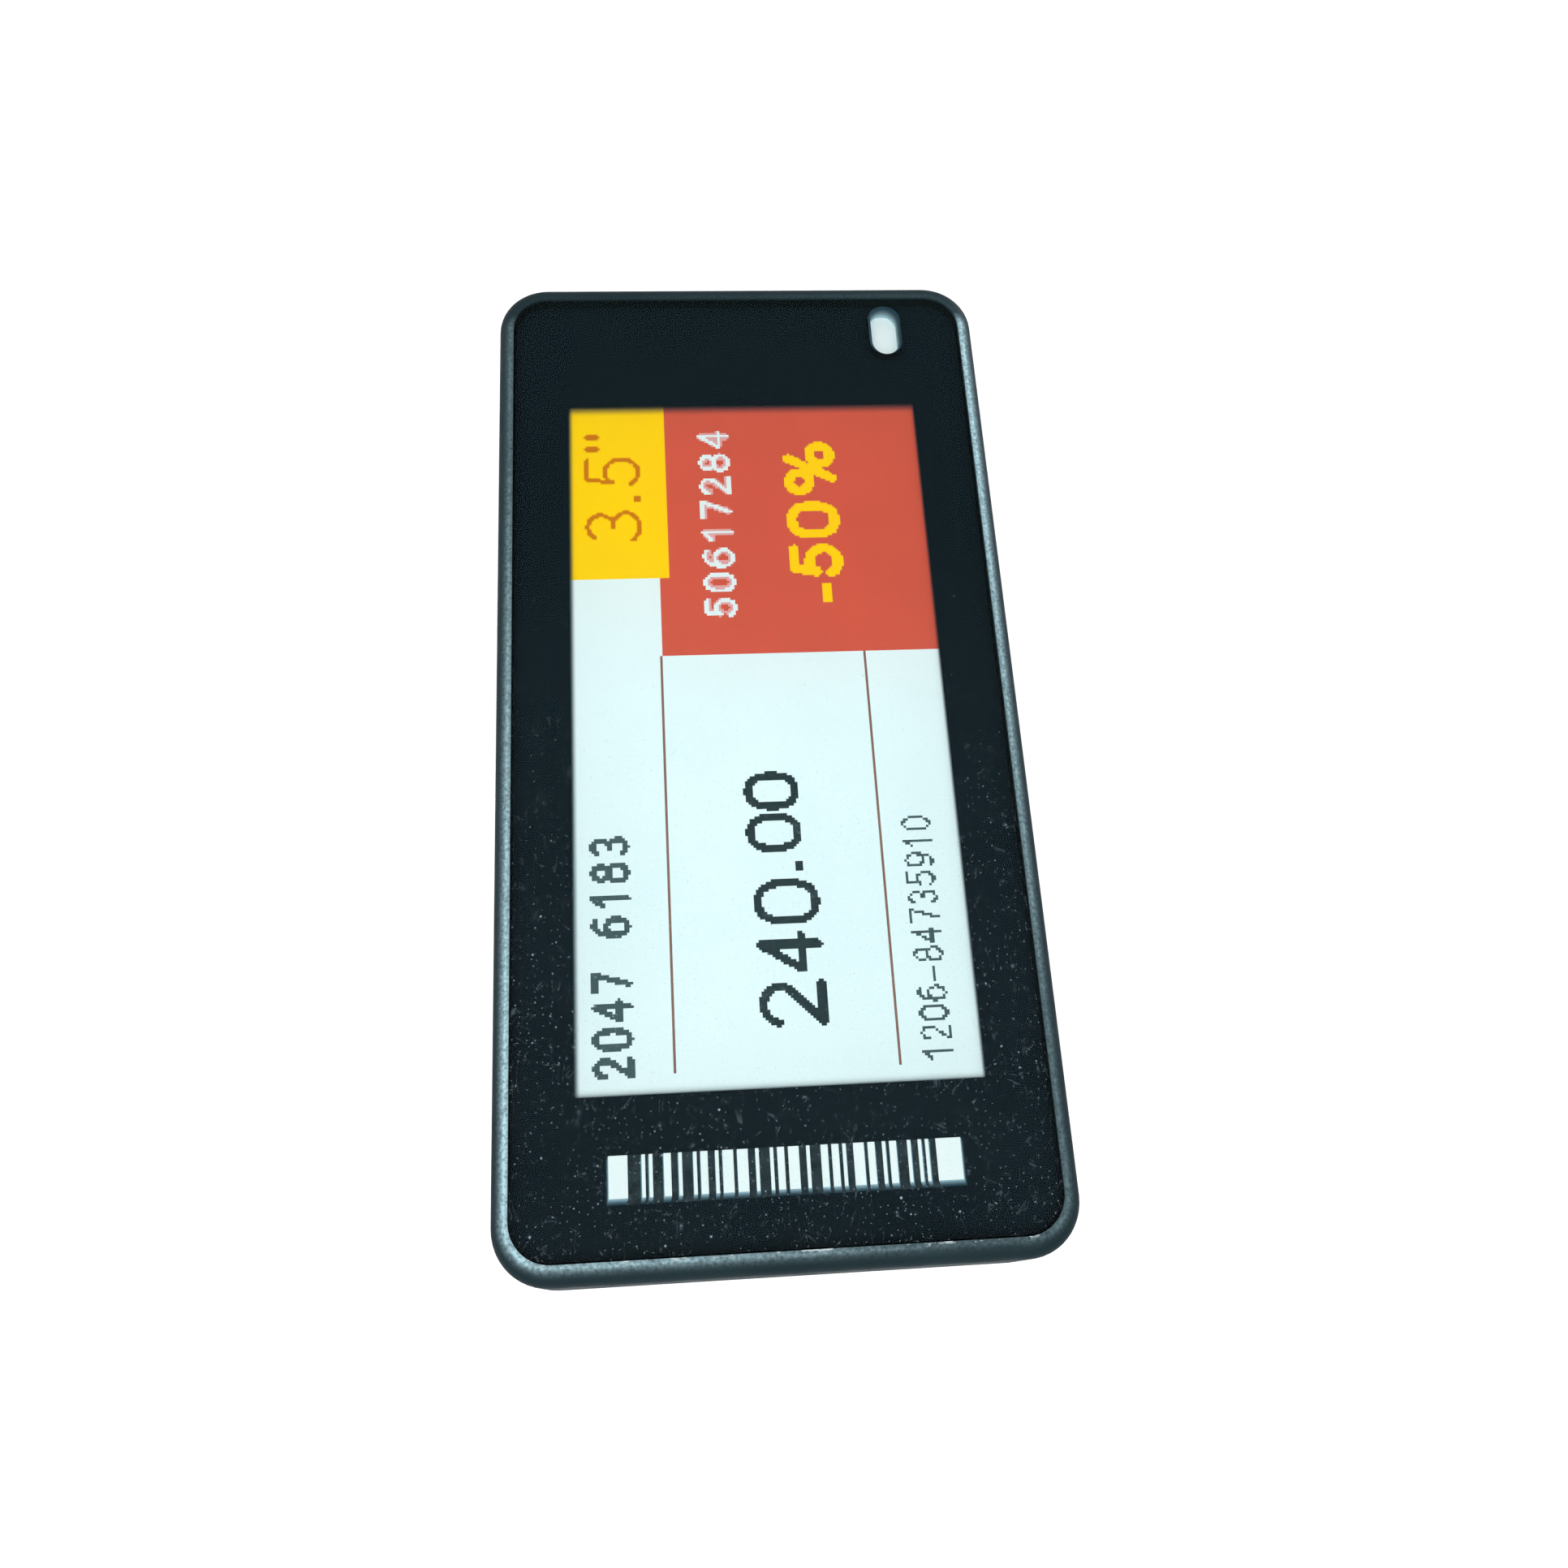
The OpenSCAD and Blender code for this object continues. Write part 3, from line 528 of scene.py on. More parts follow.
@dataclass(frozen=True)
class ClearFilm(Finish):
    """Optical film with a faint haze, clear without bending light."""

    haze: float = 0.004

    def fill(self, paint: Paint) -> None:
        """Build the film from a clear and a hazy part.

        Args:
            paint: The material's nodes.
        """
        clear = paint.add("BsdfTransparent").outputs[0]
        milky = paint.add("BsdfDiffuse", {"Color": linear(self.colour)}).outputs[0]
        share = paint.clouds(self.patch_mm, self.haze * 0.7, self.haze * 1.3)
        paint.replace_shader(paint.add("MixShader", {0: share, 1: clear, 2: milky}))


@dataclass(frozen=True)
class FadingPaintedShade(Finish):
    """Painted shade that darkens from a pale to a dark tone with the piece's own fade values."""

    # The dark end of the painted shade
    far: str = "#101a20"
    attribute: str = "fade"
    eye_power: float = 2.2

    def colours(self, paint: Paint) -> Socket:
        """Darken from the first colour to the far shade colour, evenly to the eye.

        Args:
            paint: The material's nodes.

        Returns:
            A colour socket.
        """
        fade = paint.add("Attribute", attribute_name=self.attribute).outputs["Fac"]
        share = paint.fold("POWER", paint.fold("SUBTRACT", 1.0, fade), self.eye_power)
        return paint.blend(share, linear(self.far), super().colours(paint))


@dataclass(frozen=True)
class BoardLaminate(Finish):
    """Glass-epoxy board under green solder resist, with tinned tracks that show as ridges."""

    track_mm: float = 0.8
    track_colour: str = "#2f6b4a"

    def colours(self, paint: Paint) -> Socket:
        """Lay track-like cells under the resist.

        Args:
            paint: The material's nodes.

        Returns:
            A colour socket.
        """
        grid = {"Vector": paint.place, "Scale": 0.25 / self.track_mm}
        kind = {"voronoi_dimensions": "2D", "distance": "CHEBYCHEV", "feature": "DISTANCE_TO_EDGE"}
        cells = paint.add("TexVoronoi", grid, **kind).outputs["Distance"]
        copper = paint.add("MapRange", {"Value": cells, "From Min": 0.05, "From Max": 0.07})
        return paint.blend(copper.outputs[0], super().colours(paint), linear(self.track_colour))


@dataclass(frozen=True)
class EPaper(Finish):
    """Microcapsule film: matt and finely grained, and shaded where the mask hangs over it.

    Each edge is an axis, the place of full shade and the place of none, in millimetres.
    """

    roughness: float = 0.75
    ior: float = 1.45
    specular: float = 0.0
    grain_mm: float = 0.22
    shade: str = "#08333c"
    edges: tuple[tuple[str, float, float], ...] = (
        ("Y", 31.1, 29.9),
        ("Y", -29.72, -29.42),
        ("X", -15.5, -14.95),
        ("X", 15.6, 15.25),
    )

    def colours(self, paint: Paint) -> Socket:
        """Shade the plain colours along the mask's edges."""
        open_share = paint.product(*[paint.along(*edge) for edge in self.edges])
        return paint.blend(open_share, linear(self.shade), super().colours(paint))


# Housing, cover and door: ABS from a spark-eroded tool, so light breaks up on a fine matt grain.
# The real grain of about 0.05 mm is finer than a pixel, so it is drawn coarser.
# The housing's rim carries a painted sheen highlight along the window, besides its wear chips
HOUSING_ABS = PaintedSheenPlastic(
    "housing_abs_painted_sheen", "#18272c", "#1e2f34", 0.55, 1.53, specular=0.04, grain_mm=0.16,
    grain_depth_mm=0.006, patch_mm=5.0,
)
COVER_ABS = Finish(
    "cover_abs", "#202f35", "#2a3b42", 0.55, 1.53, specular=0.15, grain_mm=0.16,
    grain_depth_mm=0.006, patch_mm=7.0,
)
DOOR_ABS = Finish(
    "door_abs", "#1f2d33", "#283940", 0.5, 1.53, specular=0.2, grain_mm=0.2,
    grain_depth_mm=0.006, patch_mm=6.0,
)
# Window: cast acrylic, polished, so it is clear with a faint even reflection
ACRYLIC = WindowAcrylic("window_acrylic_sheet", "#ffffff", "#ffffff", 0.08, 1.49)
# Mask: black screen print on the back of the acrylic, dense with a green-blue tinge
MASK_INK = Finish(
    "mask_screen_print", "#0b1a1f", "#09181f", 0.35, specular=0.0, patch_mm=18.0, grain_mm=0.5,
    grain_depth_mm=0.0005,
)
# Tape: double-sided acrylic tape on a black film, dull
TAPE = Finish("black_double_tape", "#151617", "#1d1e1f", 0.7, 1.48, patch_mm=3.0)
# Bars: matt dark screen print with dusty flecks
BAR_INK = Finish("bar_screen_print", "#101e22", "#36464b", 0.6, specular=0.0, patch_mm=0.9)
# Recess: painted shade along the edges of the white sheet behind the print
RECESS_SHADE = FadingPaintedShade(
    "recess_edge_shade", "#9cc4d3", "#8fb8c8", 0.6, specular=0.0, patch_mm=1.5, far="#16323d"
)
# Code plate: white polyester sheet, smooth and even
CODE_SHEET = Finish(
    "white_polyester", "#eefffe", "#e6fbfb", 0.5, 1.57, specular=0.2, patch_mm=8.0,
    grain_depth_mm=0.001,
)
# Light guide: frosted clear polycarbonate, bright and soft
FROSTED_PC = Finish(
    "frosted_polycarbonate", "#f0fcfb", "#e6f8f8", 0.45, 1.58, specular=0.3, patch_mm=2.0,
    grain_depth_mm=0.003,
)
# Cut edge: pale at the foot, with painted shade that darkens it towards the mask
GUIDE_WALL = FadingPaintedShade(
    "cut_acrylic_edge_painted_shade", "#c2e2ea", "#b2d6e2", 0.5, 1.49, specular=0.1, patch_mm=1.2, grain_mm=0.3,
    stretch=(1.0, 1.0, 4.0), far="#1d3a45",
)
# Display: clear film with a trace of haze, smooth grey glass, and silicon with a dark metal gloss
FILM = ClearFilm("clear_polyester_film", "#e8f4f4", "#ffffff", 0.3, 1.57)
BACKPLANE = Finish(
    "display_glass", "#4a5a58", "#3f4d4c", 0.08, 1.52, patch_mm=9.0, grain_depth_mm=0.0004
)
SILICON = Finish(
    "bare_silicon", "#3d4046", "#33363c", 0.12, metallic=0.6, grain_depth_mm=0.0003
)
# Flex: amber polyimide, with fine lines along its copper
POLYIMIDE = Finish(
    "polyimide_flex", "#b5711d", "#8f5413", 0.32, 1.7, coat=0.2, patch_mm=2.0, grain_mm=0.35,
    stretch=(1.0, 12.0, 12.0),
)
# Foam: dull dark open skin, pitted by its cells
FOAM = Finish(
    "closed_cell_foam", "#26282a", "#1a1b1d", 0.9, 1.4, specular=0.2, grain_mm=0.12,
    grain_depth_mm=0.03, patch_mm=1.5,
)
# Board: glossy green resist. Chips: matt dark epoxy. Crystals: satin cans of nickel silver
LAMINATE = BoardLaminate(
    "board_laminate", "#1c4a33", "#163d2a", 0.38, 1.55, coat=0.3, grain_mm=0.3
)
CHIP_RESIN = Finish(
    "moulded_chip_epoxy", "#202224", "#2a2c2e", 0.62, 1.55, patch_mm=1.5, grain_mm=0.09
)
CRYSTAL_CAN = Finish(
    "nickel_silver_can", "#b9b7ae", "#a8a69e", 0.28, metallic=1.0, patch_mm=1.0, grain_mm=0.2,
    grain_depth_mm=0.002,
)
# Inductor, capacitors and resistors: dull ferrite, orange epoxy, tan ceramic, dark film with
# pale ends. Diode: pale yellow phosphor
FERRITE = Finish("sintered_ferrite", "#3b3d3f", "#2c2e30", 0.7, 1.6, patch_mm=1.2, grain_mm=0.12)
TANTALUM = Finish(
    "tantalum_case_epoxy", "#c58a2a", "#b67a20", 0.5, 1.55, patch_mm=1.2, grain_mm=0.12
)
CERAMIC = Finish(
    "fired_capacitor_ceramic", "#a98a62", "#987a55", 0.55, 1.7, patch_mm=0.6, grain_mm=0.1
)
RESISTOR = Finish("resistor_alumina", "#2b2d33", "#d4d2cb", 0.5, 1.7, patch_mm=0.5, grain_mm=0.1)
LED_RESIN = Finish(
    "led_phosphor_resin", "#f2eeb8", "#f6f5e4", 0.3, 1.53, patch_mm=0.5, grain_mm=0.1
)
# Aerial: tinned sheet with rolling lines. Connector: ivory polymer, gilt contacts, brown latch
AERIAL = Finish(
    "tinned_steel_strip", "#c4c6c4", "#aeb1b0", 0.3, metallic=1.0, patch_mm=1.5, grain_mm=0.1,
    stretch=(1.0, 10.0, 1.0), grain_depth_mm=0.002,
)
CONNECTOR_RESIN = Finish(
    "connector_lcp", "#d8cfb8", "#cbc1a8", 0.5, 1.6, patch_mm=1.5, grain_mm=0.12
)
CONTACT = Finish(
    "gold_flashed_bronze", "#d9b25a", "#c79e48", 0.25, metallic=1.0, patch_mm=0.6, grain_mm=0.08,
    grain_depth_mm=0.001,
)
LATCH_RESIN = Finish("latch_pps", "#2a211c", "#352b25", 0.5, 1.6, patch_mm=1.5, grain_mm=0.12)
# Springs and cells: bright nickel with drawing lines. Gaskets: dark satin nylon
SPRING = Finish(
    "nickelled_spring_steel", "#c9c5b8", "#b5b1a5", 0.24, metallic=1.0, patch_mm=2.0, grain_mm=0.1,
    stretch=(1.0, 14.0, 1.0), grain_depth_mm=0.002,
)
CELL_STEEL = Finish(
    "nickelled_cell_steel", "#cdccc6", "#bcbbb5", 0.26, metallic=1.0, patch_mm=5.0, grain_mm=0.1,
    stretch=(12.0, 1.0, 1.0), grain_depth_mm=0.002,
)
GASKET = Finish("nylon_gasket", "#2b2c2e", "#353638", 0.5, 1.53, patch_mm=1.5)


class Ink(Enum):
    """The tones of the colour e-paper, with the finish of each."""

    WHITE = EPaper("epaper_white", "#e4fafb", "#dbf3f5", patch_mm=14.0, grain_depth_mm=0.001)
    BLACK = EPaper("epaper_black", "#1e3336", "#26393b")
    GREY = EPaper("epaper_dark_grey", "#3d5557", "#485f61")
    RUST = EPaper("epaper_rust", "#7f6054", "#8b6a5d")
    RED = EPaper("epaper_red", "#d35b47", "#c95540")
    YELLOW = EPaper("epaper_yellow", "#ffd800", "#fccf00")
    ORANGE = EPaper("epaper_orange", "#cd7c0c", "#c4720a")
    PALE = EPaper("epaper_pale_rose", "#dfaeb0", "#d7a1a2")

    @property
    def index(self) -> int:
        """The place of the ink in the picture's material slots."""
        return list(Ink).index(self)


def arc(
    centre: Point2, radii: Point2, start: float = 0.0, end: float = 360.0, square: float = 1.0
) -> list[Point2]:
    """Draw an elliptic arc as points.

    Args:
        centre: Its centre.
        radii: Its half width and half height.
        start: First angle in degrees.
        end: Last angle in degrees.
        square: One for an ellipse, less for squarer shoulders.

    Returns:
        The points in order.
    """
    steps = max(6, int(abs(end - start) / 12))
    points = []
    for n in range(steps + 1):
        angle = math.radians(start + (end - start) * n / steps)
        c, s = math.cos(angle), math.sin(angle)
        x, y = math.copysign(abs(c) ** square, c), math.copysign(abs(s) ** square, s)
        points.append((centre[0] + radii[0] * x, centre[1] + radii[1] * y))
    return points


# Strokes of the digits and signs, in a box from 0 to 1 with y upwards
GLYPHS: dict[str, list[list[Point2]]] = {
    "0": [arc((0.5, 0.5), (0.5, 0.5), square=0.8)],
    "1": [[(0.1, 0.72), (0.6, 1.0), (0.6, 0.0)]],
    "2": [arc((0.5, 0.72), (0.45, 0.28), 175, -35) + [(0.04, 0.0), (1.0, 0.0)]],
    "3": [arc((0.46, 0.75), (0.42, 0.25), 150, -90), arc((0.46, 0.26), (0.5, 0.26), 90, -150)],
    "4": [[(0.74, 0.0), (0.74, 1.0), (0.0, 0.3), (1.0, 0.3)]],
    "5": [[(0.92, 1.0), (0.2, 1.0), (0.1, 0.5)] + arc((0.46, 0.33), (0.5, 0.33), 140, -150)],
    "6": [arc((0.5, 0.32), (0.5, 0.32)), arc((0.62, 0.45), (0.62, 0.55), 62, 190)],
    "7": [[(0.0, 1.0), (1.0, 1.0), (0.36, 0.0)]],
    "8": [arc((0.5, 0.76), (0.42, 0.24)), arc((0.5, 0.27), (0.5, 0.27))],
    "9": [arc((0.5, 0.68), (0.5, 0.32)), arc((0.38, 0.55), (0.62, 0.55), -118, 10)],
    "-": [[(0.05, 0.38), (0.95, 0.38)]],
    "'": [[(0.5, 0.0), (0.5, 1.0)]],
    "%": [arc((0.2, 0.76), (0.2, 0.24)), arc((0.8, 0.24), (0.2, 0.24)), [(0.28, 0.0), (0.72, 1.0)]],
}


@dataclass(frozen=True)
class Mark:
    """A glyph in its box of display pixels: columns u from the foot, rows v from the left edge."""

    glyph: str
    start: float
    end: float
    top: float
    foot: float


def row_of(text: str, start: float, end: float, top: float, foot: float) -> list[Mark]:
    """Spread digits evenly over a row.

    Args:
        text: Digits, with a blank for a gap.
        start: First column.
        end: Last column.
        top: First row.
        foot: Last row.

    Returns:
        A mark for each digit.
    """
    gap = 0.2
    pitch = (end - start) / (len(text) - gap)
    width = pitch * (1 - gap)
    lefts = [(glyph, start + n * pitch) for n, glyph in enumerate(text) if glyph != " "]
    return [Mark(glyph, left, left + width, top, foot) for glyph, left in lefts]


@dataclass
class ScreenPicture:
    """The pixels of the e-paper screen, drawn with plain numbers."""

    columns: int = 296
    rows: int = 152
    least_reach: float = 0.56
    pixels: np.ndarray = field(init=False)

    def __post_init__(self) -> None:
        """Start from a white screen."""
        self.pixels = np.full((self.columns, self.rows), Ink.WHITE.index, np.int8)

    def fill(self, columns: tuple[int, int], rows: tuple[int, int], ink: Ink) -> None:
        """Fill a block of pixels, up to but not including the second number of each pair."""
        self.pixels[columns[0] : columns[1], rows[0] : rows[1]] = ink.index

    def write(self, marks: list[Mark], stroke: float, ink: Ink) -> None:
        """Draw glyphs as strokes of whole pixels.

        Args:
            marks: The glyphs and their boxes.
            stroke: Width of a stroke in pixels. A thin one still gets the least reach.
            ink: The tone.
        """
        places = (np.arange(self.columns) + 0.5, np.arange(self.rows) + 0.5)
        u, v = np.meshgrid(*places, indexing="ij")
        inset = stroke / 2
        for mark in marks:
            left, foot = mark.start + inset, mark.foot - inset
            wide = max(0.0, mark.end - mark.start - stroke)
            tall = max(0.0, mark.foot - mark.top - stroke)
            for line in GLYPHS[mark.glyph]:
                ends = [(left + x * wide, foot - y * tall) for x, y in line]
                for (u0, v0), (u1, v1) in zip(ends, ends[1:]):
                    du, dv = u1 - u0, v1 - v0
                    span = max(du * du + dv * dv, 1e-9)
                    t = np.clip(((u - u0) * du + (v - v0) * dv) / span, 0.0, 1.0)
                    apart = np.hypot(u - u0 - t * du, v - v0 - t * dv)
                    self.pixels[apart <= max(inset, self.least_reach)] = ink.index

    def draw(self) -> None:
        """Draw the whole screen: blocks, rules and rows of numbers."""
        self.fill((177, 296), (38, 152), Ink.RED)
        self.fill((177, 213), (37, 38), Ink.RED)
        self.fill((213, 296), (0, 41), Ink.YELLOW)
        self.fill((7, 177), (36, 37), Ink.RUST)
        self.fill((6, 177), (120, 121), Ink.RUST)
        self.write(row_of("2047 6183", 5.5, 100.0, 6.3, 21.6), 2.3, Ink.GREY)
        price = [
            Mark("2", 21.5, 40.0, 69.0, 94.6),
            Mark("4", 42.5, 59.0, 69.0, 94.6),
            Mark("0", 61.5, 80.0, 69.0, 94.6),
            Mark("0", 91.0, 107.3, 67.4, 89.4),
            Mark("0", 108.4, 124.6, 67.4, 89.4),
        ]
        self.write(price, 3.2, Ink.BLACK)
        self.fill((83, 87), (86, 89), Ink.BLACK)
        self.write(row_of("1206-84735910", 6.8, 103.8, 129.4, 140.6), 1.0, Ink.GREY)
        size = [Mark("3", 230.4, 246.4, 6.4, 30.2), Mark("5", 257.5, 273.0, 6.4, 30.2)]
        ticks = [Mark("'", 275.0, 278.0, 6.4, 13.2), Mark("'", 281.0, 284.0, 6.4, 13.2)]
        self.write(size + ticks, 2.0, Ink.ORANGE)
        self.fill((250, 253), (27, 30), Ink.ORANGE)
        serial = row_of("50617284", 194.0, 285.2, 55.3, 68.8)
        self.write(serial, 3.1, Ink.PALE)
        self.write(serial, 1.7, Ink.WHITE)
        share = [
            Mark("5", 211.3, 228.6, 92.0, 114.8),
            Mark("0", 230.6, 248.8, 92.0, 114.8),
            Mark("%", 252.0, 278.8, 92.0, 114.8),
        ]
        self.write(share, 4.4, Ink.YELLOW)
        self.fill((200, 209), (105, 109), Ink.YELLOW)


def same_tone_blocks(pixels: np.ndarray) -> list[tuple[int, int, int, int]]:
    """Split a picture into rectangles of one tone.

    Args:
        pixels: Tone numbers by column and row.

    Returns:
        First and last column and first and last row of each block, the last ones not included.
    """
    taken = np.zeros(pixels.shape, bool)
    columns, rows = pixels.shape
    blocks = []
    for u, v in np.ndindex(columns, rows):
        if taken[u, v]:
            continue
        free = (pixels == pixels[u, v]) & ~taken
        last = v + 1
        while last < rows and free[u, last]:
            last += 1
        end = u + 1
        while end < columns and free[end, v:last].all():
            end += 1
        taken[u:end, v:last] = True
        blocks.append((u, end, v, last))
    return blocks


def new_object(name: str, data: bpy.types.ID) -> Object:
    """Link a new object to the scene.

    Args:
        name: Its name.
        data: Its mesh, lamp or camera.

    Returns:
        The new object.
    """
    made = bpy.data.objects.new(name, data)
    bpy.context.scene.collection.objects.link(made)
    return made


def object_from(name: str, bm: BMesh, *finishes: Finish) -> Object:
    """Turn a finished bmesh in metres into an object.

    Args:
        name: The piece's name.
        bm: The mesh, which is freed.
        finishes: The finish of each material slot.

    Returns:
        The new object.
    """
    bmesh.ops.recalc_face_normals(bm, faces=bm.faces[:])
    mesh = bpy.data.meshes.new(name)
    bm.to_mesh(mesh)
    bm.free()
    for finish in finishes:
        mesh.materials.append(finish.make())
    return new_object(name, mesh)


def rounded_outline(low: Point2, high: Point2, corner: float, inset: float = 0.0) -> list[Point2]:
    """List the points of a rounded rectangle, counter-clockwise.

    Args:
        low: Lower left corner.
        high: Upper right corner.
        corner: Corner radius.
        inset: How far it is shrunk on each side.

    Returns:
        The points in order.
    """
    left, foot = low[0] + inset + corner, low[1] + inset + corner
    right, head = high[0] - inset - corner, high[1] - inset - corner
    steps = 8
    points = []
    for x, y, start in ((right, head, 0), (left, head, 90), (left, foot, 180), (right, foot, 270)):
        for n in range(steps + 1):
            angle = math.radians(start + 90 * n / steps)
            points.append((x + corner * math.cos(angle), y + corner * math.sin(angle)))
    return points


def raised(outline: list[Point2], z: float) -> list[Point3]:
    """Turn an outline in millimetres to points in metres, at a height in metres."""
    return [(x * MM, y * MM, z) for x, y in outline]


def plan(node: str) -> list[Point2]:
    """Give the lower left and the upper right corner of a CAD node, in millimetres."""
    return [(corner.x * PER_METRE, corner.y * PER_METRE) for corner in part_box(node)]


def loft(
    bm: BMesh, rings: list[list[Point3]], closed: bool = False
) -> tuple[list[list[bmesh.types.BMVert]], list[bmesh.types.BMFace]]:
    """Skin rings of equal length.

    Args:
        bm: The mesh that gets the faces.
        rings: Points of each ring, in metres.
        closed: True where the last ring joins the first; otherwise both ends get a cap.

    Returns:
        The new points ring by ring, and the new faces.
    """
    made = [[bm.verts.new(p) for p in ring] for ring in rings]
    faces = [] if closed else [bm.faces.new(made[0][::-1]), bm.faces.new(made[-1])]
    nexts = made[1:] + made[:1] if closed else made[1:]
    for low, high in zip(made, nexts):
        turned = zip(low, low[1:] + low[:1], high[1:] + high[:1], high)
        faces += [bm.faces.new(corners) for corners in turned]
    return made, faces


def dress_nodes(**finishes: Finish) -> None:
    """Give each CAD node its finish, by the node's name."""
    for node, finish in finishes.items():
        finish.dress(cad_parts[node])
        LOG.info("dressed %s with %s", node, finish.name)


@dataclass
class Housing:
    """The front housing and the back cover."""

    def build(self) -> None:
        """Dress the two mouldings."""
        dress_nodes(front_frame=HOUSING_ABS, back_cover=COVER_ABS)


@dataclass
class FrontWindow:
    """The window with its mask, the strip of bars and the light hole. Sizes in millimetres."""

    strip_foot: float = -37.0
    slot_head: float = -33.95
    slot_side: float = 13.2
    slot_foot: float = -37.45
    cad_slot_foot: float = -37.2
    side_margin: float = 0.2
    far_fade: float = 0.92
    first_bar: float = -11.6
    least_bar: float = 0.01
    slant: float = 0.0126
    print_low: float = 10.056
    print_high: float = 10.09
    weld: float = 0.0005
    clear_of: float = 0.004
    hole: Point2 = (13.35, 37.85)
    hole_reach: float = 2.9
    sleeve_gap: float = 0.015
    sleeve_wall: float = 0.07
    sleeve_pinch: float = 0.12
    sleeve_low: float = 9.62
    sleeve_high: float = 11.04
    sleeve_bevel: float = 0.03

    def mask(self) -> Object:
        """Copy the CAD mask, its faces a few microns clear of what they touch.

        The opening for the bars reaches a little lower, as far as the painted shade under them
        reaches.

        Returns:
            The piece that stands for the CAD mask.
        """
        low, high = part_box("window_mask")
        middle = (low.z + high.z) / 2
        bm = bmesh.new()
        bm.from_mesh(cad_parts["window_mask"].data)
        bmesh.ops.remove_doubles(bm, verts=bm.verts[:], dist=self.weld * MM)
        for vert in bm.verts:
            vert.co.z += self.clear_of * MM * (-1 if vert.co.z > middle else 1)
            if abs(vert.co.y * PER_METRE - self.cad_slot_foot) < self.weld:
                vert.co.y = self.slot_foot * MM
        return object_from("printed_mask", bm, MASK_INK)

    def gaps(self) -> list[Point2]:
        """Read the white gaps between the CAD bars, the first bar printed wider.

        Returns:
            Pairs of x in millimetres, from left to right.
        """
        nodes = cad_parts
        xs = sorted({round(v.co.x * PER_METRE, 4) for v in nodes["code_bars"].data.vertices})
        ends = xs[:1] + [b for a, b in zip(xs, xs[1:]) if b - a > self.least_bar]
        ends[0] = self.first_bar
        quiet = self.slot_side - self.side_margin
        borders = [-quiet, *ends, quiet]
        return list(zip(borders[::2], borders[1::2]))

    def prism(self, bm: BMesh, corners: list[Point2], fades: list[float], material: int) -> None:
        """Add a thin closed prism of print or painted shade.

        Args:
            bm: The mesh that gets it.
            corners: Its outline, in millimetres.
            fades: The fade value of each corner.
            material: Its material slot.
        """
        fade = bm.verts.layers.float["fade"]
        heights = (self.print_low, self.print_high)
        rings, faces = loft(bm, [raised(corners, z * MM) for z in heights])
        for ring in rings:
            for vert, value in zip(ring, fades):
                vert[fade] = value
        for face in faces:
            face.material_index = material

    def left_edge(self, gap: Point2) -> list[Point2]:
        """List the left edge of a white gap and its painted shade, from the head down.

        Args:
            gap: The gap's left and right end.

        Returns:
            Three points in millimetres.
        """
        x, out = gap[0], gap[0] * (1 + self.slant)
        deep = self.slot_foot - self.strip_foot
        turn = (out, self.slot_head + deep) if sum(gap) < 0 else (x, self.strip_foot)
        return [(x, self.slot_head), turn, (out, self.slot_foot)]

    def right_edge(self, gap: Point2) -> list[Point2]:
        """List the right edge of a white gap and its painted shade, from the head down."""
        return [(-x, y) for x, y in self.left_edge((-gap[1], -gap[0]))]

    def strip_print(self) -> Object:
        """Print the dark bars, and the painted shade under and beside each white gap.

        Returns:
            The piece that stands for the CAD bars.
        """
        gaps = self.gaps()
        bm = bmesh.new()
        bm.verts.layers.float.new("fade")
        foot, far = self.strip_foot, self.far_fade
        # Painted shade: a band under and beside each white gap, pale by the gap and dark away from
        # it
        for gap in gaps:
            shaded = [(x * (1 + self.slant), self.slot_foot) for x in gap[::-1]]
            self.prism(bm, [(gap[0], foot), (gap[1], foot), *shaded], [0.0, 0.0, far, far], 1)
            on_left = sum(gap) < 0
            edge = self.left_edge(gap) if on_left else self.right_edge(gap)
            beside = [*edge, (gap[0] if on_left else gap[1], foot)]
            self.prism(bm, beside, [0.0, far, far, 0.0], 1)
        # The dark print runs on below the bars' ends to the slot's foot, painted shade between the
        # shaded bands
        ends = [
            [(x, self.slot_head), (x, self.slot_foot)] for x in (-self.slot_side, self.slot_side)
        ]
        lefts = [ends[0], *[self.right_edge(gap) for gap in gaps]]
        rights = [*[self.left_edge(gap) for gap in gaps], ends[1]]
        for left, right in zip(lefts, rights):
            corners = left + right[::-1]
            self.prism(bm, corners, [0.0] * len(corners), 0)
        return object_from("strip_print", bm, BAR_INK, RECESS_SHADE)

    def sleeve(self) -> Object:
        """Line the light hole with the cut edge of the window, pale at the foot and darkened by
        painted shade towards the mask.

        Returns:
            A thin closed tube.
        """
        points = [v.co * PER_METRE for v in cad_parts["front_window"].data.vertices]
        rim = {
            (round(p.x, 3), round(p.y, 3))
            for p in points
            if p.z > self.sleeve_high and math.dist(p.xy, self.hole) < self.hole_reach
        }
        (x, y), low, high = self.hole, self.sleeve_low, self.sleeve_high
        offsets = sorted([(a - x, b - y) for a, b in rim], key=lambda d: math.atan2(d[1], d[0]))
        outer, inner = self.sleeve_gap, self.sleeve_gap + self.sleeve_wall
